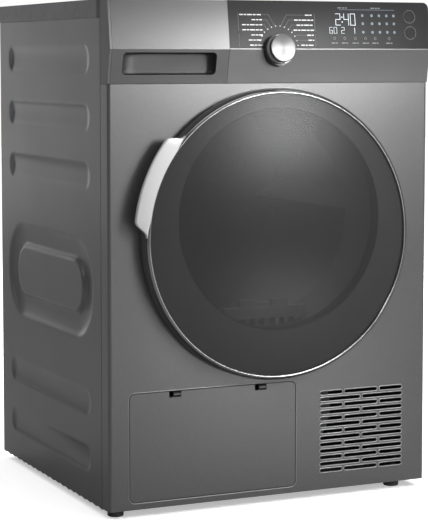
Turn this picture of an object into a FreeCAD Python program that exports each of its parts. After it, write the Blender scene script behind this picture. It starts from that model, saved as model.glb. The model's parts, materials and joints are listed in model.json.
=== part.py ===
"""Free-standing heat-pump clothes dryer, built as separate pieces in one frame.

Millimetres. X runs to the right seen from the front, +Y to the back, +Z up.
The origin is on the floor, in the middle of the machine's width and depth.
"""
import FreeCAD, Part
import math
import os

V = FreeCAD.Vector

# ---- overall sizes -------------------------------------------------------------------------------
WIDTH = 595.0
HEIGHT = 848.0
FOOT_HEIGHT = 13.0
FRONT_Y = -253.0            # plane of the painted front panel
BACK_Y = 299.0              # rear edge of the worktop
SIDE_BACK_Y = 288.4         # rear edge of the side panels
SHEET = 1.2                 # painted sheet steel
HALF = WIDTH / 2

# ---- front panel and side panels -----------------------------------------------------------------
PANEL_TOP = 710.6           # seam between front panel and control fascia
PANEL_RETURN_Y = -221.3     # the front panel wraps round the corner as far as this
PANEL_CORNER_R = 5.0
SIDE_FRONT_Y = -220.6
SIDE_BOTTOM = 11.0
SIDE_TOP = 817.6
RIB_DEPTH = 8.0
RIBS = [(751.0, 24.0), (654.5, 24.0), (558.5, 24.0), (179.5, 24.0), (84.0, 24.0)]   # centre z, half height
RIB_FRONT_Y = -172.0
RIB_BACK_Y = 240.0
RING_CHANNEL = (-187.0, 251.0, 278.0, 457.0)      # y and z limits of the big oval channel
RING_PLATEAU = (-131.0, 198.0, 326.0, 411.0)      # raised plateau inside it

# ---- control fascia ------------------------------------------------------------------------------
RIDGE_Z = 767.0
RIDGE_OUT = 11.5            # how far the ridge stands in front of the front panel
FASCIA_BACK_Y = -221.3
FASCIA_WALL = 3.0
FASCIA_GAP = 0.8
LOWER_MID_OUT = 4.6
UPPER_MID_OUT = 6.75
OVERLAY_LEFT = -86.0
OVERLAY_THICK = 2.0
SLOPE = math.atan2(RIDGE_OUT, HEIGHT - RIDGE_Z)    # lean of the upper half of the fascia
TOP_CORNER_R = 10.0

# ---- water tank drawer ---------------------------------------------------------------------------
DRAWER_X = (-293.5, -86.5)
DRAWER_Z = (711.4, 847.5)
DRAWER_BACK_Y = -240.0
GRIP_X = (-274.0, -108.0)
GRIP_Z = (725.5, 761.8)
GRIP_DEPTH_Y = -238.0
TANK_X = (-284.0, -95.0)
TANK_Z = (751.5, 815.5)
TANK_END_Y = 103.0

# ---- knob and buttons ----------------------------------------------------------------------------
KNOB_X = 3.0
KNOB_BASE = V(KNOB_X, FRONT_Y - 9.0, 765.5)
KNOB_TILT = math.radians(10.0)
KNOB_AXIS = V(0, -math.cos(KNOB_TILT), math.sin(KNOB_TILT))
KNOB_SEAT_R = 26.5
KNOB_CAP_R = 23.3
KNOB_SHAFT_R = 4.0
BUTTON_X = 258.5
BUTTON_Z = {"power_button": 823.6, "start_button": 795.7}
BUTTON_R = 9.0

# ---- door ----------------------------------------------------------------------------------------
DOOR_X = 2.0
DOOR_Z = 458.4
DOOR_R = 244.7
RING_R = (236.3, 242.3)
DOOR_BACK_Y = FRONT_Y - 0.6
DOOR_FACE_Y = FRONT_Y - 25.6
GLASS_R = 236.0
GLASS_APEX_Y = -299.0
GLASS_THICK = 3.5
LINER_R = 233.0
WINDOW_Z = 485.4
WINDOW_R = 183.5
BOWL_END_Y = -231.0
HANDLE_R = 264.5
HINGE_X = 242.0
HINGE_Y = -266.0
HINGE_PIN_R = 2.5
KNUCKLE_R = 4.5
BRACKET_Z = ((415.0, 437.0), (480.0, 502.0))
ARM_Z = (438.0, 479.0)
HOOK_X = -224.0

# ---- drum ----------------------------------------------------------------------------------------
DRUM_Z = WINDOW_Z
DRUM_R = 258.0
DRUM_WALL = 1.2
DRUM_Y = (-196.0, 250.0)
DRUM_SHAFT_R = 12.0
TUNNEL_R = 196.0
TUNNEL_END_R = 172.0
TUNNEL_Y = (-249.6, -190.0)
SEAL_R = (197.0, 207.0)
PANEL_HOLE_R = 208.0
BULKHEAD_Y = (-232.0, -229.0)
FILTER_X = 76.0
FILTER_Y = (-224.0, -204.0)
FILTER_Z = (266.0, 331.0)

# ---- running gear in the base --------------------------------------------------------------------
MOTOR_X = 95.0
MOTOR_Z = 130.0
MOTOR_R = 50.0
MOTOR_SHAFT_R = 8.0
PULLEY_R = 12.0
BELT_Y = (134.0, 146.0)
BELT_THICK = 1.6
ROLLER_R = 25.0
ROLLER_AXLE_R = 5.0
ROLLER_ANGLE = math.radians(60.0)
CLEARANCE = 0.3
RUNNING = 0.05

# ---- base and feet -------------------------------------------------------------------------------
TRAY_FLOOR = (18.0, 26.0)
TRAY_X = 287.0
TRAY_Y = (-238.0, 281.0)
TRAY_WALL_Z = 36.0
FOOT_R = 13.5
STEM_R = 4.0
FRONT_FEET = {"foot_front_left": -275.0, "foot_front_right": 249.0}
FRONT_FOOT_Y = -223.0
REAR_FOOT_X = 262.0
REAR_FOOT_Y = 255.0

# ---- service flap and vents ----------------------------------------------------------------------
FLAP_X = (-261.0, 42.6)
FLAP_Z = (25.5, 205.0)
FLAP_THICK = 2.0
FLAP_AXIS_Y = -249.5
FLAP_AXIS_Z = 36.0
FLAP_PIN_R = 2.0
FLAP_CORNER_R = 9.0
LATCH_X = {"flap_latch_left": -180.0, "flap_latch_right": -23.0}
LATCH_SLOT = (21.5, 10.0)
VENT_ROWS = 13
VENT_PITCH = 11.22
VENT_FIRST_Z = 45.9
VENT_HEIGHT = 5.7
VENT_THREE = ((91.0, 133.5), (138.2, 201.9), (207.5, 251.5))
VENT_TWO = ((91.0, 168.2), (173.4, 251.5))


# ==================================================================================================
# helpers
# ==================================================================================================
def box(x0, x1, y0, y1, z0, z1):
    return Part.makeBox(x1 - x0, y1 - y0, z1 - z0, V(x0, y0, z0))


def cyl_y(x, z, r, y0, y1):
    return Part.makeCylinder(r, y1 - y0, V(x, y0, z), V(0, 1, 0))


def cyl_z(x, y, r, z0, z1):
    return Part.makeCylinder(r, z1 - z0, V(x, y, z0))


def tube_y(x, z, inner, outer, y0, y1):
    return cyl_y(x, z, outer, y0, y1).cut(cyl_y(x, z, inner, y0 - 1, y1 + 1))


def cyl_along(start, axis, r, length):
    return Part.makeCylinder(r, length, start, axis)


def fuse(shapes):
    whole = shapes[0]
    if len(shapes) > 1:
        whole = whole.fuse(shapes[1:])
    return whole.removeSplitter()


def revolve_y(points, x, z):
    """Turn a profile of (radius, y) points about the Y-parallel axis through x, z."""
    corners = [V(x + r, y, z) for r, y in points]
    face = Part.Face(Part.makePolygon(corners + corners[:1]))
    return face.revolve(V(x, 0, z), V(0, 1, 0), 360)


def prism_x(points, x0, x1):
    """Extrude an outline of (y, z) points along X."""
    corners = [V(x0, y, z) for y, z in points]
    return Part.Face(Part.makePolygon(corners + corners[:1])).extrude(V(x1 - x0, 0, 0))


def prism_z(points, z0, z1):
    """Extrude an outline of (x, y) points along Z."""
    corners = [V(x, y, z0) for x, y in points]
    return Part.Face(Part.makePolygon(corners + corners[:1])).extrude(V(0, 0, z1 - z0))


def rounded_plate_y(x0, x1, z0, z1, r, y0, y1):
    """A plate facing Y with four rounded corners."""
    plate = box(x0, x1, y0, y1, z0, z1)
    edges = [e for e in plate.Edges if abs(e.tangentAt(e.FirstParameter).y) > 0.99]
    return plate.makeFillet(r, edges)


def rounded_plate_x(y0, y1, z0, z1, r, x0, x1):
    """A plate facing X with four rounded corners."""
    plate = box(x0, x1, y0, y1, z0, z1)
    edges = [e for e in plate.Edges if abs(e.tangentAt(e.FirstParameter).x) > 0.99]
    return plate.makeFillet(r, edges)


def hollow_box(x0, x1, y0, y1, z0, z1, wall):
    """Closed box with walls of one thickness."""
    inner = box(x0 + wall, x1 - wall, y0 + wall, y1 - wall, z0 + wall, z1 - wall)
    return box(x0, x1, y0, y1, z0, z1).cut(inner)


# ==================================================================================================
# cabinet
# ==================================================================================================
def side_panel(side):
    """Pressed side panel with five beads and one big oval ring channel. side is -1 left, +1 right."""
    skin = HALF - SHEET
    panel = [box(skin, HALF, SIDE_FRONT_Y, SIDE_BACK_Y, SIDE_BOTTOM, SIDE_TOP),
             box(291.0, skin, SIDE_FRONT_Y, SIDE_FRONT_Y + SHEET, SIDE_BOTTOM, SIDE_TOP),
             box(283.0, skin, SIDE_BACK_Y - SHEET, SIDE_BACK_Y, SIDE_BOTTOM, SIDE_TOP),
             box(284.0, skin, SIDE_FRONT_Y, SIDE_BACK_Y, SIDE_TOP - SHEET, SIDE_TOP),
             box(289.5, skin, SIDE_FRONT_Y, SIDE_BACK_Y, SIDE_BOTTOM, SIDE_BOTTOM + SHEET)]
    floor = HALF - RIB_DEPTH
    pockets = []
    for z, half in RIBS:
        corner = half - 1.0
        pockets.append(rounded_plate_x(RIB_FRONT_Y, RIB_BACK_Y, z - half, z + half, corner, floor, HALF + 1))
        panel.append(rounded_plate_x(RIB_FRONT_Y - SHEET, RIB_BACK_Y + SHEET, z - half - SHEET,
                                     z + half + SHEET, corner + SHEET, floor - SHEET, HALF))
    y0, y1, z0, z1 = RING_CHANNEL
    p0, p1, q0, q1 = RING_PLATEAU
    channel_r = (z1 - z0) / 2 - 2
    plateau_r = (q1 - q0) / 2 - 2
    outer = rounded_plate_x(y0, y1, z0, z1, channel_r, floor, HALF + 1)
    plateau = rounded_plate_x(p0, p1, q0, q1, plateau_r, floor, HALF + 1)
    backing = rounded_plate_x(y0 - SHEET, y1 + SHEET, z0 - SHEET, z1 + SHEET, channel_r + SHEET,
                              floor - SHEET, HALF)
    core = rounded_plate_x(p0 + SHEET, p1 - SHEET, q0 + SHEET, q1 - SHEET, plateau_r - SHEET,
                           floor - SHEET - 1, skin)
    panel.append(backing.cut(core))
    pockets.append(outer.cut(plateau))
    shape = fuse(panel).cut(Part.makeCompound(pockets))
    shape = max(shape.Solids, key=lambda s: s.Volume)
    if side < 0:
        shape = shape.mirror(V(0, 0, 0), V(1, 0, 0))
    return shape


def vent_slots():
    """Cutting blocks for the grille: rows of three and two slots by turns."""
    slots = []
    for row in range(VENT_ROWS):
        z = VENT_FIRST_Z + row * VENT_PITCH
        for x0, x1 in VENT_THREE if row % 2 == 0 else VENT_TWO:
            slots.append(rounded_plate_y(x0, x1, z - VENT_HEIGHT / 2, z + VENT_HEIGHT / 2,
                                         VENT_HEIGHT / 2 - 0.05, FRONT_Y - 1, FRONT_Y + 4))
    return slots


def front_panel():
    """Sheet steel front that wraps round both corners, with the door, flap, lock and vent openings."""
    outer = box(-HALF, HALF, FRONT_Y, PANEL_RETURN_Y, FOOT_HEIGHT, PANEL_TOP)
    inner = box(-HALF + SHEET, HALF - SHEET, FRONT_Y + SHEET, PANEL_RETURN_Y + 1, 0, HEIGHT)
    front_edges = [e for e in outer.Edges
                   if abs(e.tangentAt(e.FirstParameter).z) > 0.99 and abs(e.CenterOfMass.y - FRONT_Y) < 0.1]
    inner_edges = [e for e in inner.Edges if abs(e.tangentAt(e.FirstParameter).z) > 0.99
                   and abs(e.CenterOfMass.y - FRONT_Y - SHEET) < 0.1]
    shell = outer.makeFillet(PANEL_CORNER_R, front_edges)
    shell = shell.cut(inner.makeFillet(PANEL_CORNER_R - SHEET, inner_edges))
    gap = 1.2
    holes = vent_slots()
    holes.append(cyl_y(0, WINDOW_Z, PANEL_HOLE_R, FRONT_Y - 1, FRONT_Y + 4))
    holes.append(rounded_plate_y(FLAP_X[0] - gap, FLAP_X[1] + gap, FLAP_Z[0] - gap - 0.2, FLAP_Z[1] + gap,
                                 FLAP_CORNER_R + gap, FRONT_Y - 1, FRONT_Y + 4))
    holes.append(box(HOOK_X - 7, HOOK_X + 7, FRONT_Y - 1, FRONT_Y + 4, WINDOW_Z - 13, WINDOW_Z + 13))
    for z0, z1 in BRACKET_Z:
        holes.append(box(219.0, 236.0, FRONT_Y - 1, FRONT_Y + 4, z0 - 1.5, z1 + 1.5))
    return shell.cut(Part.makeCompound(holes))


def rear_panel():
    """Flat back with the hot-air inlet holes behind the drum, and the duct, gland and drain holes."""
    panel = box(-281.8, 281.8, 285.0, 286.6, 24.0, 814.0)
    holes = [cyl_y(0, DRUM_Z, DRUM_SHAFT_R + 8, 284, 288),
             box(-195, -115, 284, 288, 75, 175),
             cyl_y(-235, 120, 8.3, 284, 288),
             cyl_y(235, 730, 11.3, 284, 288)]
    for i in range(24):
        angle = i * math.tau / 24
        holes.append(cyl_y(150 * math.cos(angle), DRUM_Z + 150 * math.sin(angle), 14, 284, 288))
    return panel.cut(Part.makeCompound(holes))


def rear_duct_cover():
    """Round pressed pan with a leg, which carries hot air from the base up to the drum's back."""
    back = BACK_Y - 1.0
    outer = [cyl_y(0, DRUM_Z, 225, 286.6, back), box(-200, -110, 286.6, back, 68, 320)]
    inner = [cyl_y(0, DRUM_Z, 223.5, 286, back - 1.5), box(-198.5, -111.5, 286, back - 1.5, 69.5, 320)]
    return fuse(outer).cut(fuse(inner))


def worktop():
    """Laminated top with a deep plastic edge; hollow under its middle."""
    cover = box(-HALF, HALF, -207.0, BACK_Y, 818.0, HEIGHT)
    edges = [e for e in cover.Edges if abs(e.CenterOfMass.z - HEIGHT) < 0.1]
    cover = cover.makeFillet(2.0, edges)
    return cover.cut(box(-278, 278, -190, 280, 817, 836))


def front_crossbar():
    """Folded steel rail between the side panels, behind the fascia."""
    rail = box(-HALF + 0.4, HALF - 0.4, -219.4, -208.0, 818.2, 845.5)
    return rail.cut(box(-HALF + 2, HALF - 2, -220, -209.4, 817, 844.0))


def tunnel_cone(front_r, back_r, extra):
    """Solid cone frustum of the loading tunnel, lengthened by extra at both ends."""
    slope = (front_r - back_r) / (TUNNEL_Y[1] - TUNNEL_Y[0])
    front = TUNNEL_Y[0] - extra
    back = TUNNEL_Y[1] + extra
    return revolve_y([(0, front), (front_r + slope * extra, front), (back_r - slope * extra, back), (0, back)],
                     0, WINDOW_Z)


def filter_slot():
    """Space in the lower edge of the loading tunnel that the lint filter is pushed down into."""
    return box(-FILTER_X - 2, FILTER_X + 2, FILTER_Y[0] - 1.2, FILTER_Y[1] + 1.2, 263, 350)


def front_bulkhead():
    """Plastic carrier behind the front panel, with the two roller axles moulded on."""
    plate = box(-288, 288, BULKHEAD_Y[0], BULKHEAD_Y[1], 212.0, 745.0)
    plate = plate.cut(tunnel_cone(TUNNEL_R + 3, TUNNEL_END_R + 3, 1)).cut(filter_slot())
    axles = [cyl_y(x, z, ROLLER_AXLE_R, BULKHEAD_Y[0], -167.0) for x, z in roller_centres()]
    return fuse([plate] + axles)


def loading_tunnel():
    """Tapering throat from the door into the drum, and the round collar that carries the drum's seal."""
    throat = tunnel_cone(TUNNEL_R + 3, TUNNEL_END_R + 3, 0)
    throat = throat.cut(tunnel_cone(TUNNEL_R, TUNNEL_END_R, 10)).cut(filter_slot())
    collar = tube_y(0, DRUM_Z, 240.0, 243.0, BULKHEAD_Y[1], -185.0)
    return Part.makeCompound([throat, collar])


def drum_front_seal():
    """Felt ring between the bulkhead's collar and the inside of the drum."""
    return tube_y(0, DRUM_Z, 243.0, DRUM_R - DRUM_WALL - CLEARANCE, -190.0, -178.0).cut(
        tube_y(0, DRUM_Z, 200.0, 243.0, -200.0, -170.0))


def door_seal():
    """Rubber lip round the loading tunnel, which the closed door rests against."""
    lip = [(SEAL_R[0], -249.2), (SEAL_R[0], -253.5), (SEAL_R[0] + 3, -255.1), (SEAL_R[0] + 6, -253.5),
           (SEAL_R[1], -252.0), (SEAL_R[1], -249.2)]
    return revolve_y(lip, 0, WINDOW_Z).cut(tube_y(0, WINDOW_Z, 150, TUNNEL_R + 3, -260, -240))


# ==================================================================================================
# control fascia
# ==================================================================================================
def fascia_block(inset, back_y, x0, x1):
    """Solid behind the fascia's curved front, which is moved back by inset, from x0 to x1 and back to back_y."""
    foot = V(x0, FRONT_Y + inset, PANEL_TOP)
    hollow = V(x0, FRONT_Y - LOWER_MID_OUT + inset, (PANEL_TOP + RIDGE_Z) / 2)
    ridge = V(x0, FRONT_Y - RIDGE_OUT + inset, RIDGE_Z)
    bulge = V(x0, FRONT_Y - UPPER_MID_OUT + inset, (RIDGE_Z + HEIGHT) / 2)
    top = V(x0, FRONT_Y + inset, HEIGHT)
    back = [top, V(x0, back_y, HEIGHT), V(x0, back_y, PANEL_TOP), foot]
    edges = [Part.Arc(foot, hollow, ridge).toShape(), Part.Arc(ridge, bulge, top).toShape()]
    edges += Part.makePolygon(back).Edges
    return Part.Face(Part.Wire(edges)).extrude(V(x1 - x0, 0, 0))


def rounded_end(x0, x1, z0, z1, r):
    """Cutting block whose top right corner is rounded."""
    block = box(x0, x1, -300, -200, z0, z1)
    edges = [e for e in block.Edges if abs(e.tangentAt(e.FirstParameter).y) > 0.99
             and e.CenterOfMass.x > x1 - 1 and e.CenterOfMass.z > z1 - 1]
    return block.makeFillet(r, edges)


def knob_core(radius, start, length):
    """Cylinder about the knob's tilted axis; start is measured outwards from the knob's base."""
    return cyl_along(KNOB_BASE + KNOB_AXIS * start, KNOB_AXIS, radius, length)


def button_frame(name):
    """Point on the fascia's face at a button's centre, and the outward normal there."""
    z = BUTTON_Z[name]
    t = (z - RIDGE_Z) / (HEIGHT - RIDGE_Z)
    y = FRONT_Y - RIDGE_OUT * (1 - t) - 4 * t * (1 - t)
    return V(BUTTON_X, y, z), V(0, -math.cos(SLOPE), math.sin(SLOPE))


def button_core(name, radius, start, length):
    """Cylinder about a button's axis; start is measured outwards from the fascia's face."""
    centre, axis = button_frame(name)
    return cyl_along(centre + axis * start, axis, radius, length)


def control_fascia():
    """Hollow moulding across the whole front, open where the water tank's drawer front sits."""
    outer = fascia_block(0, FASCIA_BACK_Y, -HALF, HALF)
    inner = fascia_block(FASCIA_WALL, FASCIA_BACK_Y + 5, -HALF + 2.5, HALF - 2.5)
    inner = inner.common(box(-HALF, HALF, -300, -200, PANEL_TOP + 3, HEIGHT - 3))
    shell = outer.cut(inner)
    shell = shell.common(rounded_end(-HALF, HALF, PANEL_TOP + FASCIA_GAP, HEIGHT, TOP_CORNER_R))
    shell = shell.cut(box(DRAWER_X[0] - 0.6, DRAWER_X[1] + 0.6, -300, -239, PANEL_TOP - 1, HEIGHT + 1))
    shell = shell.cut(box(DRAWER_X[0] - 0.6, DRAWER_X[1] + 0.6, -240, -200, 745.5, 817.5))
    shell = shell.cut(box(-290, 290, BULKHEAD_Y[0] - 0.5, -200, PANEL_TOP - 1, 745.5))
    seat = fascia_block(-1, FRONT_Y + 20, OVERLAY_LEFT, HALF + 1)
    seat = seat.cut(fascia_block(OVERLAY_THICK, FRONT_Y + 30, OVERLAY_LEFT - 5, HALF + 5))
    shell = shell.cut(seat.common(box(OVERLAY_LEFT, HALF + 1, -300, -200, RIDGE_Z + 1.5, HEIGHT + 1)))
    holes = [knob_core(KNOB_SEAT_R + RUNNING, -6, 60)]
    holes += [button_core(name, BUTTON_R + 0.5, -12, 30) for name in BUTTON_Z]
    shell = shell.cut(Part.makeCompound(holes))
    return max(shell.Solids, key=lambda s: s.Volume)


def control_overlay():
    """Dark smoked cover sheet over the upper half of the fascia."""
    sheet = fascia_block(0, FRONT_Y + 20, OVERLAY_LEFT, HALF)
    sheet = sheet.cut(fascia_block(OVERLAY_THICK, FRONT_Y + 30, OVERLAY_LEFT - 5, HALF + 5))
    sheet = sheet.common(rounded_end(OVERLAY_LEFT, HALF, RIDGE_Z + 1.5, HEIGHT, TOP_CORNER_R))
    holes = [knob_core(KNOB_SEAT_R + RUNNING, -20, 60)]
    holes += [button_core(name, BUTTON_R + 0.5, -12, 30) for name in BUTTON_Z]
    return sheet.cut(Part.makeCompound(holes))


def knob_seat():
    """Dark ring that the programme knob turns in, with the encoder's collar behind it."""
    ring = knob_core(KNOB_SEAT_R, -6, 13.0)
    collar = knob_core(9.0, -14, 9.0)
    return fuse([ring, collar]).cut(knob_core(KNOB_SHAFT_R + RUNNING, -20, 60))


def knob_body():
    """Silver knob body with its shaft; a groove under the cap."""
    body = knob_core(KNOB_CAP_R + 0.8, 7.4, 8.0)
    neck = knob_core(KNOB_CAP_R - 1.2, 15.4, 1.2)
    shaft = knob_core(KNOB_SHAFT_R, -12, 20.0)
    return fuse([body, neck, shaft])


def knob_cap():
    """Spun aluminium disc on the knob's face."""
    cap = knob_core(KNOB_CAP_R, 16.6, 5.4)
    rim = [e for e in cap.Edges if e.Curve.TypeId == "Part::GeomCircle"]
    outer = max(rim, key=lambda e: (e.CenterOfMass - KNOB_BASE).dot(KNOB_AXIS))
    return cap.makeChamfer(1.0, [outer])


def push_button(name):
    """Round button with a stem that reaches back to the control board."""
    cap = button_core(name, BUTTON_R, -1.4, 2.2)
    stem = button_core(name, 3.0, -8.0, 7.0)
    return fuse([cap, stem])


def control_electronics():
    """Display and control board in its case behind the fascia."""
    case = hollow_box(-60, 285, -246.5, -230, 776, 836, 1.5)
    board = box(-55, 280, -239, -237.4, 779, 833)
    holes = [knob_core(10.0, -40, 80)] + [button_core(name, 4.0, -14, 30) for name in BUTTON_Z]
    display = box(95, 235, -246.0, -242.0, 782, 830)
    return fuse([case, board, display]).cut(Part.makeCompound(holes))


# ==================================================================================================
# water tank drawer
# ==================================================================================================
def tank_front():
    """Silver drawer front that follows the fascia, with an opening for the fingers."""
    outer = fascia_block(0, DRAWER_BACK_Y, DRAWER_X[0], DRAWER_X[1])
    outer = outer.common(box(-HALF, HALF, -300, -200, DRAWER_Z[0], DRAWER_Z[1]))
    inner = fascia_block(FASCIA_WALL, DRAWER_BACK_Y + 5, DRAWER_X[0] + 2.5, DRAWER_X[1] - 2.5)
    inner = inner.common(box(-HALF, HALF, -300, -200, DRAWER_Z[0] + 2.5, DRAWER_Z[1] - 2.5))
    front = outer.cut(inner)
    return front.cut(rounded_plate_y(GRIP_X[0], GRIP_X[1], GRIP_Z[0], GRIP_Z[1], 7.0, -300, -235))


def tank_grip():
    """Dark cup behind the drawer front's opening; its back wall slopes."""
    outer = rounded_plate_y(GRIP_X[0] - 3, GRIP_X[1] + 3, GRIP_Z[0] - 3, GRIP_Z[1] + 3, 9.0, -290, GRIP_DEPTH_Y)
    front = fascia_block(FASCIA_WALL, -200, -HALF, HALF)
    outer = outer.common(front)
    inner = rounded_plate_y(GRIP_X[0] - 1, GRIP_X[1] + 1, GRIP_Z[0] - 1, GRIP_Z[1] + 1, 8.0, -290, GRIP_DEPTH_Y - 1.8)
    slope = prism_x([(GRIP_DEPTH_Y - 1.8, GRIP_Z[0] - 1), (GRIP_DEPTH_Y - 13, GRIP_Z[0] - 1),
                     (GRIP_DEPTH_Y - 1.8, GRIP_Z[1] - 8)], GRIP_X[0] - 1, GRIP_X[1] + 1)
    return outer.cut(inner.cut(slope))


def tank_body():
    """Condensate tank: a closed translucent box with a filling hole in its top and a carrying bar."""
    tank = hollow_box(TANK_X[0], TANK_X[1], -236.0, TANK_END_Y, TANK_Z[0], TANK_Z[1], 2.2)
    ties = [box(x, x + 20, DRAWER_BACK_Y, -236, 790, 812) for x in (-280, -120)]
    tank = fuse([tank] + ties)
    return tank.cut(cyl_z(-191, 60, 14, TANK_Z[1] - 4, TANK_Z[1] + 4))


def tank_housing():
    """Open trough that guides the water tank above the drum."""
    outer = box(TANK_X[0] - 3.5, TANK_X[1] + 3.5, -228.0, TANK_END_Y + 3, TANK_Z[0] - 2.5, TANK_Z[1])
    inner = box(TANK_X[0] - 1.5, TANK_X[1] + 1.5, -230.0, TANK_END_Y + 1, TANK_Z[0] - 0.5, TANK_Z[1] + 1)
    return outer.cut(inner)


# ==================================================================================================
# door
# ==================================================================================================
def hinge_notches():
    """Space cut out of the door behind its front skin, for the cabinet's two hinge webs."""
    notches = [box(206, 260, -271.0, -240, z0 - 1.5, z1 + 1.5) for z0, z1 in BRACKET_Z]
    notches.append(box(234, 260, -271.0, -240, ARM_Z[0] - 2, ARM_Z[1] + 2))
    return Part.makeCompound(notches)


def door_frame():
    """Painted ring round the door: a channel open to the back, with bevelled edges."""
    profile = [(239.0, DOOR_BACK_Y), (DOOR_R, -257.2), (DOOR_R, -269.0), (RING_R[1] + 0.2, -276.6),
               (RING_R[1] + 0.2, -273.8), (RING_R[0] - 2.3, -273.8), (RING_R[0] - 2.3, -271.2),
               (241.6, -271.2), (241.6, -258.0), (238.0, -256.0)]
    return revolve_y(profile, DOOR_X, DOOR_Z).cut(hinge_notches())


def door_ring():
    """Polished trim ring between the painted frame and the glass."""
    profile = [(RING_R[0], -274.0), (RING_R[0], -278.4), (RING_R[0] + 1.8, DOOR_FACE_Y - 0.9),
               (RING_R[1] - 1.8, DOOR_FACE_Y - 0.9), (RING_R[1], -277.6), (RING_R[1], -274.0)]
    return revolve_y(profile, DOOR_X, DOOR_Z)


def dome_y(radius, apex_y, edge_y):
    """Height of a shallow spherical dome at a radius."""
    rise = edge_y - apex_y
    sphere = (GLASS_R ** 2 + rise ** 2) / (2 * rise)
    return apex_y + sphere - math.sqrt(sphere ** 2 - radius ** 2)


def door_glass():
    """Smoked glass dome."""
    edge = -278.0
    outside = [(GLASS_R * i / 8, dome_y(GLASS_R * i / 8, GLASS_APEX_Y, edge)) for i in range(9)]
    inside = [(r, y + GLASS_THICK) for r, y in reversed(outside)]
    arcs = []
    for points in (outside, inside):
        knots = [V(DOOR_X + r, y, DOOR_Z) for r, y in points]
        arcs.append(Part.Arc(knots[0], knots[4], knots[8]).toShape())
    edge_line = Part.makeLine(V(DOOR_X + GLASS_R, outside[-1][1], DOOR_Z),
                              V(DOOR_X + GLASS_R, inside[0][1], DOOR_Z))
    axis_line = Part.makeLine(V(DOOR_X, inside[-1][1], DOOR_Z), V(DOOR_X, outside[0][1], DOOR_Z))
    face = Part.Face(Part.Wire(Part.__sortEdges__([arcs[0], edge_line, arcs[1], axis_line])))
    return face.revolve(V(DOOR_X, 0, DOOR_Z), V(0, 1, 0), 360)


def door_liner():
    """Dark plate on the back of the door, with a round hole for the bowl."""
    plate = cyl_y(DOOR_X, DOOR_Z, LINER_R, -259.0, -255.6)
    plate = plate.cut(cyl_y(0, WINDOW_Z, WINDOW_R, -262, -250))
    return plate.cut(hinge_notches()).cut(box(200, 260, -262, -250, ARM_Z[0], ARM_Z[1]))


def door_bowl():
    """Clear bowl that reaches into the loading tunnel."""
    profile = [(0, BOWL_END_Y), (165, BOWL_END_Y), (WINDOW_R - 0.6, -247.0), (WINDOW_R - 0.6, -259.2),
               (WINDOW_R + 6, -259.2), (WINDOW_R + 6, -262.0), (WINDOW_R - 3.4, -262.0),
               (WINDOW_R - 3.4, -248.0), (163.5, BOWL_END_Y - 3), (0, BOWL_END_Y - 3)]
    return revolve_y(profile, 0, WINDOW_Z)


def ring_sector(inner, outer, start, end, y0, y1):
    """Part of a flat ring about the door's centre; angles in degrees from +X, anticlockwise from the front."""
    ring = tube_y(DOOR_X, DOOR_Z, inner, outer, y0, y1)
    far = outer * 2
    count = 6
    points = [V(DOOR_X, y0 - 1, DOOR_Z)]
    for i in range(count + 1):
        angle = math.radians(start + (end - start) * i / count)
        points.append(V(DOOR_X + far * math.cos(angle), y0 - 1, DOOR_Z + far * math.sin(angle)))
    wedge = Part.Face(Part.makePolygon(points + points[:1])).extrude(V(0, y1 - y0 + 2, 0))
    return ring.common(wedge)


def door_handle():
    """Bright grip plate outside the trim ring at the upper left, with a finger gap behind it."""
    plate = ring_sector(DOOR_R + 0.3, HANDLE_R, 141, 175, -281.0, -274.0)
    root = ring_sector(RING_R[1] + 0.3, DOOR_R + 4, 136.5, 179, -281.0, -276.8)
    lug = ring_sector(DOOR_R, DOOR_R + 3, 145, 171, -276.8, -260.0)
    return fuse([plate, root, lug])


def door_hinge_arm():
    """Steel arm on the door with the middle knuckle of the hinge."""
    z0, z1 = ARM_Z[0] + 0.6, ARM_Z[1] - 0.6
    barrel = cyl_z(HINGE_X, HINGE_Y, KNUCKLE_R, z0, z1)
    strap = box(205, HINGE_X, HINGE_Y - 2, HINGE_Y + 2, z0, z1)
    foot = box(205, 209, HINGE_Y, -255.6, z0, z1)
    return fuse([barrel, strap, foot]).cut(cyl_z(HINGE_X, HINGE_Y, HINGE_PIN_R + RUNNING, z0 - 5, z1 + 5))


def door_hinge_bracket():
    """Cabinet half of the hinge: plate behind the front panel, two webs with knuckles, and the pin."""
    plate = box(212.5, 240, FRONT_Y + SHEET + 0.1, FRONT_Y + SHEET + 2.1, 404, 513)
    pieces = [plate, cyl_z(HINGE_X, HINGE_Y, HINGE_PIN_R, BRACKET_Z[0][0], BRACKET_Z[1][1])]
    for z0, z1 in BRACKET_Z:
        pieces.append(cyl_z(HINGE_X, HINGE_Y, KNUCKLE_R, z0, z1))
        web = [(HINGE_X - 3.6, HINGE_Y - 0.4), (HINGE_X - 0.6, HINGE_Y + 3.6), (228.5, FRONT_Y + SHEET + 1),
               (223.0, FRONT_Y + SHEET + 1)]
        pieces.append(prism_z(web, z0, z1))
    return fuse(pieces)


def door_latch_hook():
    """Hook on the back of the door that the door lock grips."""
    shank = box(HOOK_X - 3, HOOK_X + 3, -255.6, -240.0, WINDOW_Z - 8, WINDOW_Z + 8)
    barb = box(HOOK_X - 5, HOOK_X + 3, -243.5, -240.0, WINDOW_Z - 8, WINDOW_Z + 8)
    return fuse([shank, barb])


def door_lock():
    """Lock case behind the front panel, open where the hook enters."""
    case = box(HOOK_X - 26, HOOK_X + 12, FRONT_Y + SHEET + 0.2, -233.0, WINDOW_Z - 32, WINDOW_Z + 32)
    return case.cut(box(HOOK_X - 9, HOOK_X + 7, -260, -236.0, WINDOW_Z - 12, WINDOW_Z + 12))


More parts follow.
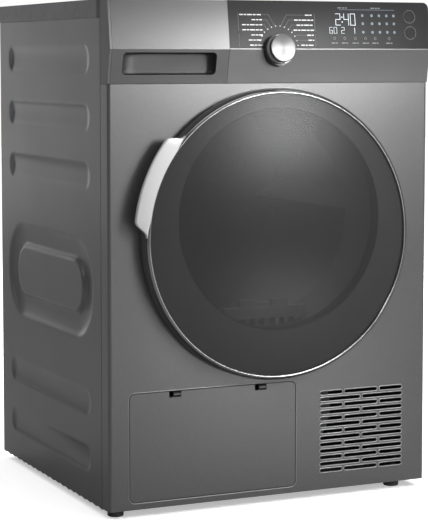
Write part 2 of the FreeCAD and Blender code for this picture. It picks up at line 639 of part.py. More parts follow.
# ==================================================================================================
# service flap, behind which the heat exchanger is reached
# ==================================================================================================
def service_flap():
    """Flap flush with the front panel, hinged on two pins near its bottom edge."""
    plate = rounded_plate_y(FLAP_X[0], FLAP_X[1], FLAP_Z[0], FLAP_Z[1], FLAP_CORNER_R, FRONT_Y,
                            FRONT_Y + FLAP_THICK)
    for x in LATCH_X.values():
        width, height = LATCH_SLOT
        plate = plate.cut(box(x - width / 2, x + width / 2, -260, -240, FLAP_Z[1] - height, FLAP_Z[1] + 5))
    pieces = [plate]
    pin_ends = (FLAP_X[0] - 7, FLAP_X[1] + 7)
    for x in pin_ends:
        inner = x + 14 if x < 0 else x - 14
        low, high = min(x, inner), max(x, inner)
        pieces.append(Part.makeCylinder(FLAP_PIN_R, high - low, V(low, FLAP_AXIS_Y, FLAP_AXIS_Z), V(1, 0, 0)))
    for x in (FLAP_X[0] + 3, FLAP_X[1] - 7):
        pieces.append(box(x, x + 4, FRONT_Y + FLAP_THICK - 0.1, FLAP_AXIS_Y + 1.5, FLAP_AXIS_Z - 1, FLAP_AXIS_Z + 8))
    for z in (80.0, 150.0):
        pieces.append(box(FLAP_X[0] + 12, FLAP_X[1] - 12, FRONT_Y + FLAP_THICK, FRONT_Y + FLAP_THICK + 3, z, z + 2))
    return fuse(pieces)


def flap_latch(name):
    """Sliding latch behind the notch at the flap's top edge, with a narrow finger bar in the notch."""
    x = LATCH_X[name]
    right = x + LATCH_SLOT[0] / 2 - 0.4
    bar_z = (FLAP_Z[1] - 6.8, FLAP_Z[1] - 3.4)
    bar = box(x - 3.0, right, FRONT_Y + 0.2, FRONT_Y + FLAP_THICK + 1, *bar_z)
    tail = box(x - 3.0, right + 8, FRONT_Y + FLAP_THICK + 0.4, FRONT_Y + FLAP_THICK + 2.4,
               FLAP_Z[1] - 18, FLAP_Z[1] - 1.6)
    return fuse([bar, tail])


# ==================================================================================================
# drum and its drive
# ==================================================================================================
def drum_shell():
    """Rolled steel drum wall."""
    return tube_y(0, DRUM_Z, DRUM_R - DRUM_WALL, DRUM_R, DRUM_Y[0], DRUM_Y[1])


def drum_rear_plate():
    """Perforated drum back with its hub and shaft."""
    inside = DRUM_R - DRUM_WALL
    plate = cyl_y(0, DRUM_Z, inside, DRUM_Y[1] - 2.0, DRUM_Y[1])
    holes = []
    for ring, count in ((120, 24), (145, 28), (170, 34), (195, 40)):
        for i in range(count):
            angle = i * math.tau / count
            holes.append(cyl_y(ring * math.cos(angle), DRUM_Z + ring * math.sin(angle), 5.0,
                               DRUM_Y[1] - 4, DRUM_Y[1] + 4))
    plate = plate.cut(Part.makeCompound(holes))
    hub = cyl_y(0, DRUM_Z, 48, DRUM_Y[1] - 1, DRUM_Y[1] + 5)
    shaft = cyl_y(0, DRUM_Z, DRUM_SHAFT_R, DRUM_Y[1], 281.0)
    return fuse([plate, hub, shaft])


def drum_lifters():
    """Three ridges inside the drum that carry the laundry round."""
    inside = DRUM_R - DRUM_WALL
    base_r = math.sqrt(inside ** 2 - 30 ** 2) - 0.4
    solids = []
    for wall in (0, 2.5):
        ridge = [(-30 + 2 * wall, -base_r - wall), (-8 + wall, -base_r + 44), (0, -base_r + 50 - 1.2 * wall),
                 (8 - wall, -base_r + 44), (30 - 2 * wall, -base_r - wall)]
        corners = [V(x, DRUM_Y[0] + 30 + wall, DRUM_Z + z) for x, z in ridge]
        length = DRUM_Y[1] - DRUM_Y[0] - 50 - 2 * wall
        solids.append(Part.Face(Part.makePolygon(corners + corners[:1])).extrude(V(0, length, 0)))
    one = solids[0].cut(solids[1])
    lifters = []
    for i in range(3):
        lifter = one.copy()
        lifter.rotate(V(0, 0, DRUM_Z), V(0, 1, 0), 150 + 120 * i)
        lifters.append(lifter)
    return Part.makeCompound(lifters)


def rear_bearing_housing():
    """Cup on the back panel in which the drum's shaft turns."""
    flange = cyl_y(0, DRUM_Z, 60, 281.5, 285.0)
    barrel = cyl_y(0, DRUM_Z, DRUM_SHAFT_R + 7, 257.0, 285.0)
    bore = cyl_y(0, DRUM_Z, DRUM_SHAFT_R + RUNNING, 250.0, 281.6)
    return fuse([flange, barrel]).cut(bore)


def roller_centres():
    """Places (x, z) of the two rollers under the drum."""
    reach = DRUM_R + ROLLER_R + CLEARANCE
    return [(side * reach * math.cos(ROLLER_ANGLE), DRUM_Z - reach * math.sin(ROLLER_ANGLE)) for side in (-1, 1)]


def front_roller(index):
    """Roller under the drum's front edge."""
    x, z = roller_centres()[index]
    wheel = cyl_y(x, z, ROLLER_R, -188.0, -170.0)
    wheel = wheel.cut(tube_y(x, z, 12, 19, -189.0, -184.0)).cut(tube_y(x, z, 12, 19, -174.0, -169.0))
    return wheel.cut(cyl_y(x, z, ROLLER_AXLE_R + RUNNING, -200, -160))


def belt_loop(drum_r, pulley_r):
    """Taut loop round the drum and the motor's pulley, as a solid block between its two faces."""
    dx, dz = MOTOR_X, MOTOR_Z - DRUM_Z
    distance = math.hypot(dx, dz)
    heading = math.atan2(dz, dx)
    spread = math.acos((drum_r - pulley_r) / distance)
    corners = []
    for centre_x, centre_z, radius, turn in ((0, DRUM_Z, drum_r, spread), (MOTOR_X, MOTOR_Z, pulley_r, spread),
                                             (MOTOR_X, MOTOR_Z, pulley_r, -spread), (0, DRUM_Z, drum_r, -spread)):
        angle = heading + turn
        corners.append(V(centre_x + radius * math.cos(angle), BELT_Y[0], centre_z + radius * math.sin(angle)))
    quad = Part.Face(Part.makePolygon(corners + corners[:1])).extrude(V(0, BELT_Y[1] - BELT_Y[0], 0))
    return fuse([quad, cyl_y(0, DRUM_Z, drum_r, *BELT_Y), cyl_y(MOTOR_X, MOTOR_Z, pulley_r, *BELT_Y)])


def drive_belt():
    """Flat belt round the drum and the motor's pulley."""
    drum_r = DRUM_R + CLEARANCE
    pulley_r = PULLEY_R + CLEARANCE
    return belt_loop(drum_r + BELT_THICK, pulley_r + BELT_THICK).cut(belt_loop(drum_r, pulley_r))


def motor_housing():
    """Drive motor's case on two feet."""
    case = cyl_y(MOTOR_X, MOTOR_Z, MOTOR_R, -10, 118)
    feet = [box(MOTOR_X - 40, MOTOR_X + 40, y, y + 18, TRAY_FLOOR[1], MOTOR_Z - 20) for y in (10, 80)]
    fins = [tube_y(MOTOR_X, MOTOR_Z, MOTOR_R - 4, MOTOR_R + 1, y, y + 2) for y in (35, 45, 55, 65)]
    return fuse([case] + feet).cut(Part.makeCompound(fins)).cut(
        cyl_y(MOTOR_X, MOTOR_Z, MOTOR_SHAFT_R + RUNNING, -20, 130))


def motor_shaft():
    """Motor shaft with the belt pulley turned on its end."""
    shaft = cyl_y(MOTOR_X, MOTOR_Z, MOTOR_SHAFT_R, -160, 150)
    pulley = cyl_y(MOTOR_X, MOTOR_Z, PULLEY_R, BELT_Y[0] - 0.5, BELT_Y[1] + 0.5)
    flanges = [cyl_y(MOTOR_X, MOTOR_Z, PULLEY_R + 5, y, y + 1.5) for y in (BELT_Y[0] - 2.2, BELT_Y[1] + 0.7)]
    return fuse([shaft, pulley] + flanges)


def blower_wheel():
    """Radial fan wheel on the front end of the motor shaft."""
    back = cyl_y(MOTOR_X, MOTOR_Z, 66, -76, -73)
    rim = tube_y(MOTOR_X, MOTOR_Z, 56, 66, -130, -127)
    hub = cyl_y(MOTOR_X, MOTOR_Z, 14, -110, -75)
    pieces = [back, rim, hub]
    for i in range(24):
        blade = box(57, 65.5, -128, -75, -0.8, 0.8)
        blade.rotate(V(60, 0, 0), V(0, 1, 0), 35)
        blade.rotate(V(0, 0, 0), V(0, 1, 0), i * 15)
        blade.translate(V(MOTOR_X, 0, MOTOR_Z))
        pieces.append(blade)
    return fuse(pieces).cut(cyl_y(MOTOR_X, MOTOR_Z, MOTOR_SHAFT_R, -170, 0))


def blower_housing():
    """Round fan case with its air inlet at the front and outlet to the left."""
    case = cyl_y(MOTOR_X, MOTOR_Z, 78, -137, -64)
    outlet = box(-5, MOTOR_X, -137, -64, MOTOR_Z - 78, MOTOR_Z - 30)
    inside = [cyl_y(MOTOR_X, MOTOR_Z, 75, -134, -67), box(-10, MOTOR_X, -134, -67, MOTOR_Z - 75, MOTOR_Z - 33)]
    foot = box(MOTOR_X - 30, MOTOR_X + 30, -120, -80, TRAY_FLOOR[1], MOTOR_Z - 77)
    holes = [cyl_y(MOTOR_X, MOTOR_Z, 50, -140, -130), cyl_y(MOTOR_X, MOTOR_Z, 15, -70, -60)]
    return fuse([case, outlet, foot]).cut(fuse(inside)).cut(Part.makeCompound(holes))


# ==================================================================================================
# heat pump, base and feet
# ==================================================================================================
def finned_block(y0, y1):
    """Stack of vertical fins between two end plates, with three tubes through it."""
    x0, x1, z0, z1 = -262.0, -82.0, 44.0, 186.0
    pieces = [box(x0, x0 + 2, y0, y1, z0, z1), box(x1 - 2, x1, y0, y1, z0, z1)]
    pieces += [box(x, x + 1.2, y0 + 3, y1 - 3, z0 + 2, z1 - 2) for x in range(-252, -85, 12)]
    tubes = [Part.makeCylinder(4.5, x1 - x0 + 10, V(x0 - 5, (y0 + y1) / 2, z), V(1, 0, 0)) for z in (70, 115, 160)]
    feet = [box(x0, x1, y, y + 6, TRAY_FLOOR[1], z0 + 3) for y in (y0 + 6, y1 - 12)]
    return fuse(pieces + tubes + feet)


def heat_exchangers():
    """Evaporator in front and condenser behind it, in the base."""
    return Part.makeCompound([finned_block(-190, -60), finned_block(-40, 140)])


def exchanger_cover():
    """Front cover of the heat exchanger, with two turned grips, reached through the flap."""
    plate = rounded_plate_y(-256, -70, 40, 192, 8.0, -226.0, -220.0)
    rim = rounded_plate_y(-250, -76, 46, 186, 6.0, -220.0, -206.0).cut(
        rounded_plate_y(-246, -80, 50, 182, 5.0, -222.0, -200.0))
    grips = [box(x - 6, x + 6, -234.0, -226.0, 95, 140) for x in (-240, -86)]
    return fuse([plate, rim] + grips)


def compressor():
    """Refrigerant compressor, a welded steel can on a foot plate."""
    can = cyl_z(195, 212, 58, 44, 190)
    can = can.makeFillet(18, [e for e in can.Edges if e.Curve.TypeId == "Part::GeomCircle"])
    foot = box(140, 248, 162, 262, 34, 46)
    mounts = [cyl_z(x, y, 9, TRAY_FLOOR[1], 34) for x in (152, 236) for y in (174, 250)]
    return fuse([can, foot] + mounts)


def condensate_pump():
    """Small pump that lifts the condensate into the tank, with its pipe stub."""
    return fuse([box(-60, -20, 190, 240, TRAY_FLOOR[1], 60), cyl_z(-40, 215, 17, 60, 88),
                 cyl_z(-52, 198, 5, 60, 104)])


def air_duct():
    """Rectangular duct from the condenser back to the rear panel."""
    outer = box(-200, -110, 150, 284.8, 70, 180)
    return outer.cut(box(-197.5, -112.5, 149, 286, 72.5, 177.5))


def base_tray():
    """Plastic floor of the machine with low walls, a gutter and a bored boss over each foot."""
    y0, y1 = TRAY_Y
    tray = box(-TRAY_X, TRAY_X, y0, y1, TRAY_FLOOR[0], TRAY_WALL_Z)
    tray = tray.cut(box(-TRAY_X + 4, TRAY_X - 4, y0 + 4, y1 - 4, TRAY_FLOOR[1], TRAY_WALL_Z + 1))
    bosses = []
    holes = []
    for x, y in foot_places():
        bosses.append(cyl_z(x, y, 9, TRAY_FLOOR[0], 42))
        holes.append(cyl_z(x, y, STEM_R + RUNNING, 10, 50))
    gutter = box(-70, -64, -150, 270, TRAY_FLOOR[1] - 4, TRAY_FLOOR[1] + 1)
    bosses = [boss.common(box(-TRAY_X, TRAY_X, y0, y1, 0, 60)) for boss in bosses]
    return fuse([tray] + bosses).cut(Part.makeCompound(holes)).cut(gutter)


def foot_places():
    """Places (x, y) of the four feet, front pair first."""
    front = [(x, FRONT_FOOT_Y) for x in FRONT_FEET.values()]
    return front + [(-REAR_FOOT_X, REAR_FOOT_Y), (REAR_FOOT_X, REAR_FOOT_Y)]


def levelling_foot(x, y):
    """Rubber-soled foot with a hexagonal nut and a plain round stem that stands in its boss."""
    pad = cyl_z(x, y, FOOT_R, 0, 8)
    pad = pad.makeChamfer(1.2, [e for e in pad.Edges if e.Curve.TypeId == "Part::GeomCircle"])
    nut = prism_z([(x + 8 * math.cos(i * math.tau / 6), y + 8 * math.sin(i * math.tau / 6)) for i in range(6)], 8, 13)
    return fuse([pad, nut, cyl_z(x, y, STEM_R, 8, 41)])


def rear_feet():
    """The two fixed feet at the back."""
    return Part.makeCompound([levelling_foot(x, y) for x, y in foot_places()[2:]])


# ==================================================================================================
# small parts
# ==================================================================================================
def lint_filter():
    """Fluff filter that stands in the tunnel's slot, with lattice windows and two grips."""
    y0, y1 = FILTER_Y
    frame = box(-FILTER_X, FILTER_X, y0, y1, *FILTER_Z)
    windows = []
    for column in range(8):
        for row in range(3):
            x = -FILTER_X + 3 + column * 18.6
            z = FILTER_Z[0] + 3 + row * 15
            windows.append(box(x, x + 16.0, y0 - 1, y1 + 1, z, z + 13))
    frame = frame.cut(Part.makeCompound(windows))
    grips = [box(x - 15, x + 15, y0 + 3, y1 - 3, FILTER_Z[1], FILTER_Z[1] + 13) for x in (-30, 30)]
    tongue = box(-13, 13, y0 + 6, y1 - 6, FILTER_Z[1], FILTER_Z[1] + 8)
    return fuse([frame, tongue] + grips)


def cable_gland():
    """Strain relief where the mains lead enters the back."""
    body = cyl_y(235, 730, 11, 278, 286.6)
    nose = cyl_y(235, 730, 14, 286.6, 296)
    return fuse([body, nose]).cut(cyl_y(235, 730, 4, 270, 300))


def drain_spigot():
    """Hose tail for a direct drain, with its flange on the outside of the rear panel."""
    flange = cyl_y(-235, 120, 13, 286.6, 288.2)
    tail = cyl_y(-235, 120, 8, 288.2, 298)
    neck = cyl_y(-235, 120, 7.5, 270, 286.6)
    return fuse([flange, tail, neck]).cut(cyl_y(-235, 120, 5.5, 260, 300))


def panel_screws():
    """Pan-head screws that hold the rear panel."""
    screws = []
    for x in (-276, 276):
        for z in (60, 240, 420, 600, 780):
            screws.append(cyl_y(x, z, 4.0, 286.6, 289.0))
    for x in (-150, 0, 150):
        screws.append(cyl_y(x, 800, 4.0, 286.6, 289.0))
    return Part.makeCompound(screws)


NODES = {
    "left_side_panel": lambda: side_panel(-1),
    "right_side_panel": lambda: side_panel(1),
    "front_panel": front_panel,
    "rear_panel": rear_panel,
    "rear_duct_cover": rear_duct_cover,
    "worktop": worktop,
    "front_crossbar": front_crossbar,
    "front_bulkhead": front_bulkhead,
    "loading_tunnel": loading_tunnel,
    "drum_front_seal": drum_front_seal,
    "door_seal": door_seal,
    "control_fascia": control_fascia,
    "control_overlay": control_overlay,
    "control_electronics": control_electronics,
    "knob_seat": knob_seat,
    "tank_housing": tank_housing,
    "base_tray": base_tray,
    "rear_feet": rear_feet,
    "heat_exchangers": heat_exchangers,
    "exchanger_cover": exchanger_cover,
    "compressor": compressor,
    "condensate_pump": condensate_pump,
    "air_duct": air_duct,
    "blower_housing": blower_housing,
    "motor_housing": motor_housing,
    "rear_bearing_housing": rear_bearing_housing,
    "drive_belt": drive_belt,
    "door_lock": door_lock,
    "door_hinge_bracket": door_hinge_bracket,
    "cable_gland": cable_gland,
    "drain_spigot": drain_spigot,
    "panel_screws": panel_screws,
    "door_frame": door_frame,
    "door_ring": door_ring,
    "door_handle": door_handle,
    "door_glass": door_glass,
    "door_liner": door_liner,
    "door_bowl": door_bowl,
    "door_hinge_arm": door_hinge_arm,
    "door_latch_hook": door_latch_hook,
    "tank_front": tank_front,
    "tank_grip": tank_grip,
    "tank_body": tank_body,
    "service_flap": service_flap,
    "flap_latch_left": lambda: flap_latch("flap_latch_left"),
    "flap_latch_right": lambda: flap_latch("flap_latch_right"),
    "knob_body": knob_body,
    "knob_cap": knob_cap,
    "power_button": lambda: push_button("power_button"),
    "start_button": lambda: push_button("start_button"),
    "lint_filter": lint_filter,
    "drum_shell": drum_shell,
    "drum_rear_plate": drum_rear_plate,
    "drum_lifters": drum_lifters,
    "motor_shaft": motor_shaft,
    "blower_wheel": blower_wheel,
    "front_roller_left": lambda: front_roller(0),
    "front_roller_right": lambda: front_roller(1),
    "foot_front_left": lambda: levelling_foot(FRONT_FEET["foot_front_left"], FRONT_FOOT_Y),
    "foot_front_right": lambda: levelling_foot(FRONT_FEET["foot_front_right"], FRONT_FOOT_Y),
}

os.makedirs("parts", exist_ok=True)
for name, make in NODES.items():
    shape = make()
    if not shape.isValid():
        print("not valid:", name)
    shape.exportStep("parts/" + name + ".step")
    print(name, len(shape.Solids), "solid(s)", round(shape.Volume / 1000, 1), "cm3")
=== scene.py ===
"""Looks of a free-standing clothes dryer, built round its CAD frame.

Sizes written in millimetres are named here once; everything handed to Blender is in metres.
"""
import json
import math

import bmesh
import bpy
from mathutils import Matrix, Vector


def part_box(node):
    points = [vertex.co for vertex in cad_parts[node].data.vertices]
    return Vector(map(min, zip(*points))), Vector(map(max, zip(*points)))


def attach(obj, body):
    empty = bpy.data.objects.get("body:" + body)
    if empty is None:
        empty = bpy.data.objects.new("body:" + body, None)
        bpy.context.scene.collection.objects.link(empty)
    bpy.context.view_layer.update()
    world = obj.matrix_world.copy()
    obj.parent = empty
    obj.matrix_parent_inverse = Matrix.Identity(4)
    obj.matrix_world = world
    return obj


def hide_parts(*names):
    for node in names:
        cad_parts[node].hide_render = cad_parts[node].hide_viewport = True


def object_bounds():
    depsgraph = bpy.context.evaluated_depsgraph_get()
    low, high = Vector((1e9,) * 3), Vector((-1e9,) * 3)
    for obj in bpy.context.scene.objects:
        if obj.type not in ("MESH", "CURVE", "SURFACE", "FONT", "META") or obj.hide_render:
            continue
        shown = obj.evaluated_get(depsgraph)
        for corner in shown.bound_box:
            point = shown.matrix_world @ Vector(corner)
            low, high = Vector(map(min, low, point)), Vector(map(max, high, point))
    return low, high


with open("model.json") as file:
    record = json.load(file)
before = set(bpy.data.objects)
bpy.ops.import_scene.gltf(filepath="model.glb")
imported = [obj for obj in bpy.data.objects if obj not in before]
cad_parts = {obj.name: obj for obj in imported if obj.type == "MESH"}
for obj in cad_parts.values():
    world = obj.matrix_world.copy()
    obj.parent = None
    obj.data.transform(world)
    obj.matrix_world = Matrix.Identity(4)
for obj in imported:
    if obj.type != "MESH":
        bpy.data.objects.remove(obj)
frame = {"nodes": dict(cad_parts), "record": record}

MM = 0.001
CAD_LOW, CAD_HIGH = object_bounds()

# ---- sizes shared with the CAD model, in millimetres ---------------------------------------------
PANEL_LOW, PANEL_HIGH = (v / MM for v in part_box("front_panel"))
SIDE_LOW, SIDE_HIGH = (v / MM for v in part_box("left_side_panel"))
FRONT_Y = PANEL_LOW.y
PANEL_TOP = PANEL_HIGH.z
HALF = PANEL_HIGH.x
TOP_Z = CAD_HIGH.z / MM

RIDGE_Z = 767.0
RIDGE_OUT = 11.5
DOOR_X = 2.0
DOOR_Z = 458.4
WINDOW_Z = 485.4
GLASS_R = 236.0
GLASS_EDGE_Y = -278.0
GLASS_APEX_Y = -299.0
GLASS_THICK = 3.5
WINDOW_EDGE_R = 186.0
BAND_OUTER_R = 235.0
RING_R = (236.3, 242.3)
RING_FACE_Y = -279.5
HANDLE_R = 264.5
HANDLE_INNER_R = 238.6
KNOB_TILT = math.radians(10.0)
KNOB_BASE = Vector((3.0, FRONT_Y - 9.0, 765.5))
KNOB_AXIS = Vector((0, -math.cos(KNOB_TILT), math.sin(KNOB_TILT)))


# ==================================================================================================
# camera, light and floor
# ==================================================================================================
def add_camera():
    data = bpy.data.cameras.new("camera")
    data.sensor_width = 36.0
    data.lens = 127.05
    data.shift_y = -0.10
    data.clip_end = 60.0
    camera = bpy.data.objects.new("camera", data)
    camera.location = (-1.3811, -2.9943, 0.7524)
    yaw, pitch = math.radians(24.882), math.radians(4.665)
    camera.rotation_euler = (math.pi / 2 - pitch, 0, -yaw)
    bpy.context.scene.collection.objects.link(camera)
    bpy.context.scene.camera = camera


def add_area_light(name, place, target, size, power):
    data = bpy.data.lights.new(name, "AREA")
    data.shape = "RECTANGLE"
    data.size, data.size_y = size
    data.energy = power
    light = bpy.data.objects.new(name, data)
    light.visible_camera = False
    light.location = place
    light.rotation_euler = (Vector(target) - Vector(place)).to_track_quat("-Z", "Y").to_euler()
    bpy.context.scene.collection.objects.link(light)


def add_world():
    """White backdrop for the camera; a dim room, brighter towards the front right, for what reflects."""
    world = bpy.data.worlds.new("studio")
    bpy.context.scene.world = world
    world.use_nodes = True
    nodes, links = world.node_tree.nodes, world.node_tree.links
    nodes.clear()
    coords = nodes.new("ShaderNodeTexCoord")
    facing = nodes.new("ShaderNodeVectorMath")
    facing.operation = "DOT_PRODUCT"
    facing.inputs[1].default_value = Vector((0.85, -0.45, 0.30)).normalized()
    glow = nodes.new("ShaderNodeMapRange")
    glow.interpolation_type = "SMOOTHSTEP"
    glow.inputs["From Min"].default_value = -0.1
    glow.inputs["From Max"].default_value = 0.95
    glow.inputs["To Min"].default_value = 0.09
    glow.inputs["To Max"].default_value = 0.50
    room = nodes.new("ShaderNodeBackground")
    backdrop = nodes.new("ShaderNodeBackground")
    backdrop.inputs["Color"].default_value = (1, 1, 1, 1)
    backdrop.inputs["Strength"].default_value = 1.0
    path = nodes.new("ShaderNodeLightPath")
    mix = nodes.new("ShaderNodeMixShader")
    out = nodes.new("ShaderNodeOutputWorld")
    links.new(coords.outputs["Generated"], facing.inputs[0])
    links.new(facing.outputs["Value"], glow.inputs["Value"])
    links.new(glow.outputs["Result"], room.inputs["Strength"])
    links.new(path.outputs["Is Camera Ray"], mix.inputs["Fac"])
    links.new(room.outputs[0], mix.inputs[1])
    links.new(backdrop.outputs[0], mix.inputs[2])
    links.new(mix.outputs[0], out.inputs["Surface"])


def floor_material():
    """White studio floor that throws less light back on the machine than it shows."""
    material = plain("floor_pale", (0.92, 0.92, 0.92), 0.9, Specular_IOR_Level=0.0)
    material.node_tree.nodes["Principled BSDF"].inputs["Emission Color"].default_value = (1, 1, 1, 1)
    tree = material.node_tree
    path = tree.nodes.new("ShaderNodeLightPath")
    mix = tree.nodes.new("ShaderNodeMix")
    mix.data_type = "RGBA"
    mix.inputs["A"].default_value = (0.30, 0.30, 0.30, 1)
    mix.inputs["B"].default_value = (0.92, 0.92, 0.92, 1)
    tree.links.new(path.outputs["Is Camera Ray"], mix.inputs["Factor"])
    tree.links.new(mix.outputs["Result"], tree.nodes["Principled BSDF"].inputs["Base Color"])
    glow = tree.nodes.new("ShaderNodeMath")
    glow.operation = "MULTIPLY"
    glow.inputs[1].default_value = 0.45
    tree.links.new(path.outputs["Is Camera Ray"], glow.inputs[0])
    tree.links.new(glow.outputs["Value"], tree.nodes["Principled BSDF"].inputs["Emission Strength"])
    return material


def add_floor():
    mesh = bpy.data.meshes.new("floor")
    side = 12.0
    corners = [(-side, -side, 0), (side, -side, 0), (side, side, 0), (-side, side, 0)]
    mesh.from_pydata(corners, [], [(0, 1, 2, 3)])
    floor = bpy.data.objects.new("floor", mesh)
    floor.data.materials.append(floor_material())
    bpy.context.scene.collection.objects.link(floor)


# ==================================================================================================
# materials
# ==================================================================================================
def plain(name, colour, roughness, metallic=0.0, **sockets):
    """Principled material; sockets are set by name with underscores for spaces."""
    material = bpy.data.materials.new(name)
    material.use_nodes = True
    shader = material.node_tree.nodes["Principled BSDF"]
    shader.inputs["Base Color"].default_value = (*colour[:3], 1)
    shader.inputs["Roughness"].default_value = roughness
    shader.inputs["Metallic"].default_value = metallic
    for key, value in sockets.items():
        shader.inputs[key.replace("_", " ")].default_value = value
    return material


def noise(tree, scale, detail=2.0, stretch=(1, 1, 1)):
    """Noise in the object's own coordinates, in cycles per metre."""
    coords = tree.nodes.new("ShaderNodeTexCoord")
    mapping = tree.nodes.new("ShaderNodeMapping")
    mapping.inputs["Scale"].default_value = stretch
    texture = tree.nodes.new("ShaderNodeTexNoise")
    texture.inputs["Scale"].default_value = scale
    texture.inputs["Detail"].default_value = detail
    tree.links.new(coords.outputs["Object"], mapping.inputs["Vector"])
    tree.links.new(mapping.outputs["Vector"], texture.inputs["Vector"])
    return texture.outputs["Fac"]


def ranged(tree, value, low, high, start=0.3, end=0.7):
    """Map a 0 to 1 value to low..high."""
    node = tree.nodes.new("ShaderNodeMapRange")
    node.inputs["From Min"].default_value = start
    node.inputs["From Max"].default_value = end
    node.inputs["To Min"].default_value = low
    node.inputs["To Max"].default_value = high
    tree.links.new(value, node.inputs["Value"])
    return node.outputs["Result"]


def shade_between(tree, value, dark, light):
    """Colour that runs from dark to light with a noise value."""
    mix = tree.nodes.new("ShaderNodeMix")
    mix.data_type = "RGBA"
    mix.inputs["A"].default_value = (*dark, 1)
    mix.inputs["B"].default_value = (*light, 1)
    tree.links.new(ranged(tree, value, 0, 1), mix.inputs["Factor"])
    return mix.outputs["Result"]


def scaled(colour, factor):
    return tuple(min(1.0, c * factor) for c in colour)


def add_bump(material, height, strength, distance):
    tree = material.node_tree
    bump = tree.nodes.new("ShaderNodeBump")
    bump.inputs["Strength"].default_value = strength
    bump.inputs["Distance"].default_value = distance
    tree.links.new(height, bump.inputs["Height"])
    tree.links.new(bump.outputs["Normal"], tree.nodes["Principled BSDF"].inputs["Normal"])


def surface(name, colour, roughness, metallic=0.0, mottle=0.08, mottle_scale=14.0, grain=0.0,
            grain_scale=900.0, rough_spread=0.05, stretch=(1, 1, 1), **sockets):
    """Material with slow colour variation, uneven gloss and an optional fine moulded or cast grain."""
    material = plain(name, colour, roughness, metallic, **sockets)
    tree = material.node_tree
    shader = tree.nodes["Principled BSDF"]
    slow = noise(tree, mottle_scale, 3.0, stretch)
    tree.links.new(shade_between(tree, slow, scaled(colour, 1 - mottle), scaled(colour, 1 + mottle)),
                   shader.inputs["Base Color"])
    tree.links.new(ranged(tree, noise(tree, mottle_scale * 3, 4.0, stretch), roughness - rough_spread,
                          roughness + rough_spread), shader.inputs["Roughness"])
    if grain:
        add_bump(material, noise(tree, grain_scale, 2.0, stretch), grain, 0.0003)
    return material


def metallic_paint(name, colour, roughness=0.38):
    """Grey enamel with aluminium flakes: a fine sparkle in colour and normal under a clear coat."""
    material = plain(name, colour, roughness, 0.65, Coat_Weight=0.10, Coat_Roughness=0.3)
    tree = material.node_tree
    shader = tree.nodes["Principled BSDF"]
    flakes = noise(tree, 1500.0, 1.0)
    tree.links.new(shade_between(tree, flakes, scaled(colour, 0.88), scaled(colour, 1.12)),
                   shader.inputs["Base Color"])
    tree.links.new(ranged(tree, noise(tree, 9.0, 3.0), roughness - 0.02, roughness + 0.02),
                   shader.inputs["Roughness"])
    add_bump(material, noise(tree, 1100.0, 1.0), 0.10, 0.0002)
    return material


def paint_cheek_shade(material, factor):
    """Painted shade: multiply the colour of faces that point sideways, darkening the ends of the fascia."""
    tree = material.node_tree
    shader = tree.nodes["Principled BSDF"]
    colour = shader.inputs["Base Color"].links[0].from_socket
    geometry = tree.nodes.new("ShaderNodeNewGeometry")
    split = tree.nodes.new("ShaderNodeSeparateXYZ")
    size = tree.nodes.new("ShaderNodeMath")
    size.operation = "ABSOLUTE"
    tint = tree.nodes.new("ShaderNodeMix")
    tint.data_type = "RGBA"
    tint.blend_type = "MULTIPLY"
    tint.inputs["B"].default_value = (factor, factor, factor, 1)
    tree.links.new(geometry.outputs["True Normal"], split.inputs["Vector"])
    tree.links.new(split.outputs["X"], size.inputs[0])
    tree.links.new(ranged(tree, size.outputs["Value"], 0, 1, 0.8, 0.95), tint.inputs["Factor"])
    tree.links.new(colour, tint.inputs["A"])
    tree.links.new(tint.outputs["Result"], shader.inputs["Base Color"])
    return material


def brushed(name, colour, roughness, stretch, anisotropy=0.5):
    """Metal with fine parallel scratches along one axis."""
    material = plain(name, colour, roughness, 1.0, Anisotropic=anisotropy)
    tree = material.node_tree
    shader = tree.nodes["Principled BSDF"]
    lines = noise(tree, 500.0, 3.0, stretch)
    tree.links.new(shade_between(tree, lines, scaled(colour, 0.88), scaled(colour, 1.06)),
                   shader.inputs["Base Color"])
    tree.links.new(ranged(tree, lines, roughness - 0.06, roughness + 0.08), shader.inputs["Roughness"])
    add_bump(material, lines, 0.12, 0.0002)
    return material


def spun_metal(name, colour, roughness):
    """Turned aluminium: concentric machining marks about the piece's own Z axis."""
    material = plain(name, colour, roughness, 1.0, Anisotropic=0.85)
    tree = material.node_tree
    shader = tree.nodes["Principled BSDF"]
    tangent = tree.nodes.new("ShaderNodeTangent")
    tangent.direction_type = "RADIAL"
    tangent.axis = "Z"
    tree.links.new(tangent.outputs["Tangent"], shader.inputs["Tangent"])
    coords = tree.nodes.new("ShaderNodeTexCoord")
    rings = tree.nodes.new("ShaderNodeTexWave")
    rings.wave_type = "RINGS"
    rings.rings_direction = "Z"
    rings.inputs["Scale"].default_value = 700.0
    rings.inputs["Distortion"].default_value = 0.4
    tree.links.new(coords.outputs["Object"], rings.inputs["Vector"])
    tree.links.new(shade_between(tree, rings.outputs["Fac"], scaled(colour, 0.9), colour),
                   shader.inputs["Base Color"])
    add_bump(material, rings.outputs["Fac"], 0.06, 0.0001)
    return material


def smoked_glass(name, colour, alpha, roughness):
    """Tinted pane seen through by its alpha, with a slightly uneven tint."""
    material = plain(name, colour, roughness, 0.0, Alpha=alpha, IOR=1.46, Specular_IOR_Level=0.5)
    tree = material.node_tree
    tint = shade_between(tree, noise(tree, 4.0), scaled(colour, 0.92), scaled(colour, 1.08))
    tree.links.new(tint, tree.nodes["Principled BSDF"].inputs["Base Color"])
    return material


def glowing(name, colour, strength):
    material = plain(name, scaled(colour, 0.8), 0.5, Emission_Strength=strength)
    shader = material.node_tree.nodes["Principled BSDF"]
    shader.inputs["Emission Color"].default_value = (*colour, 1)
    return material


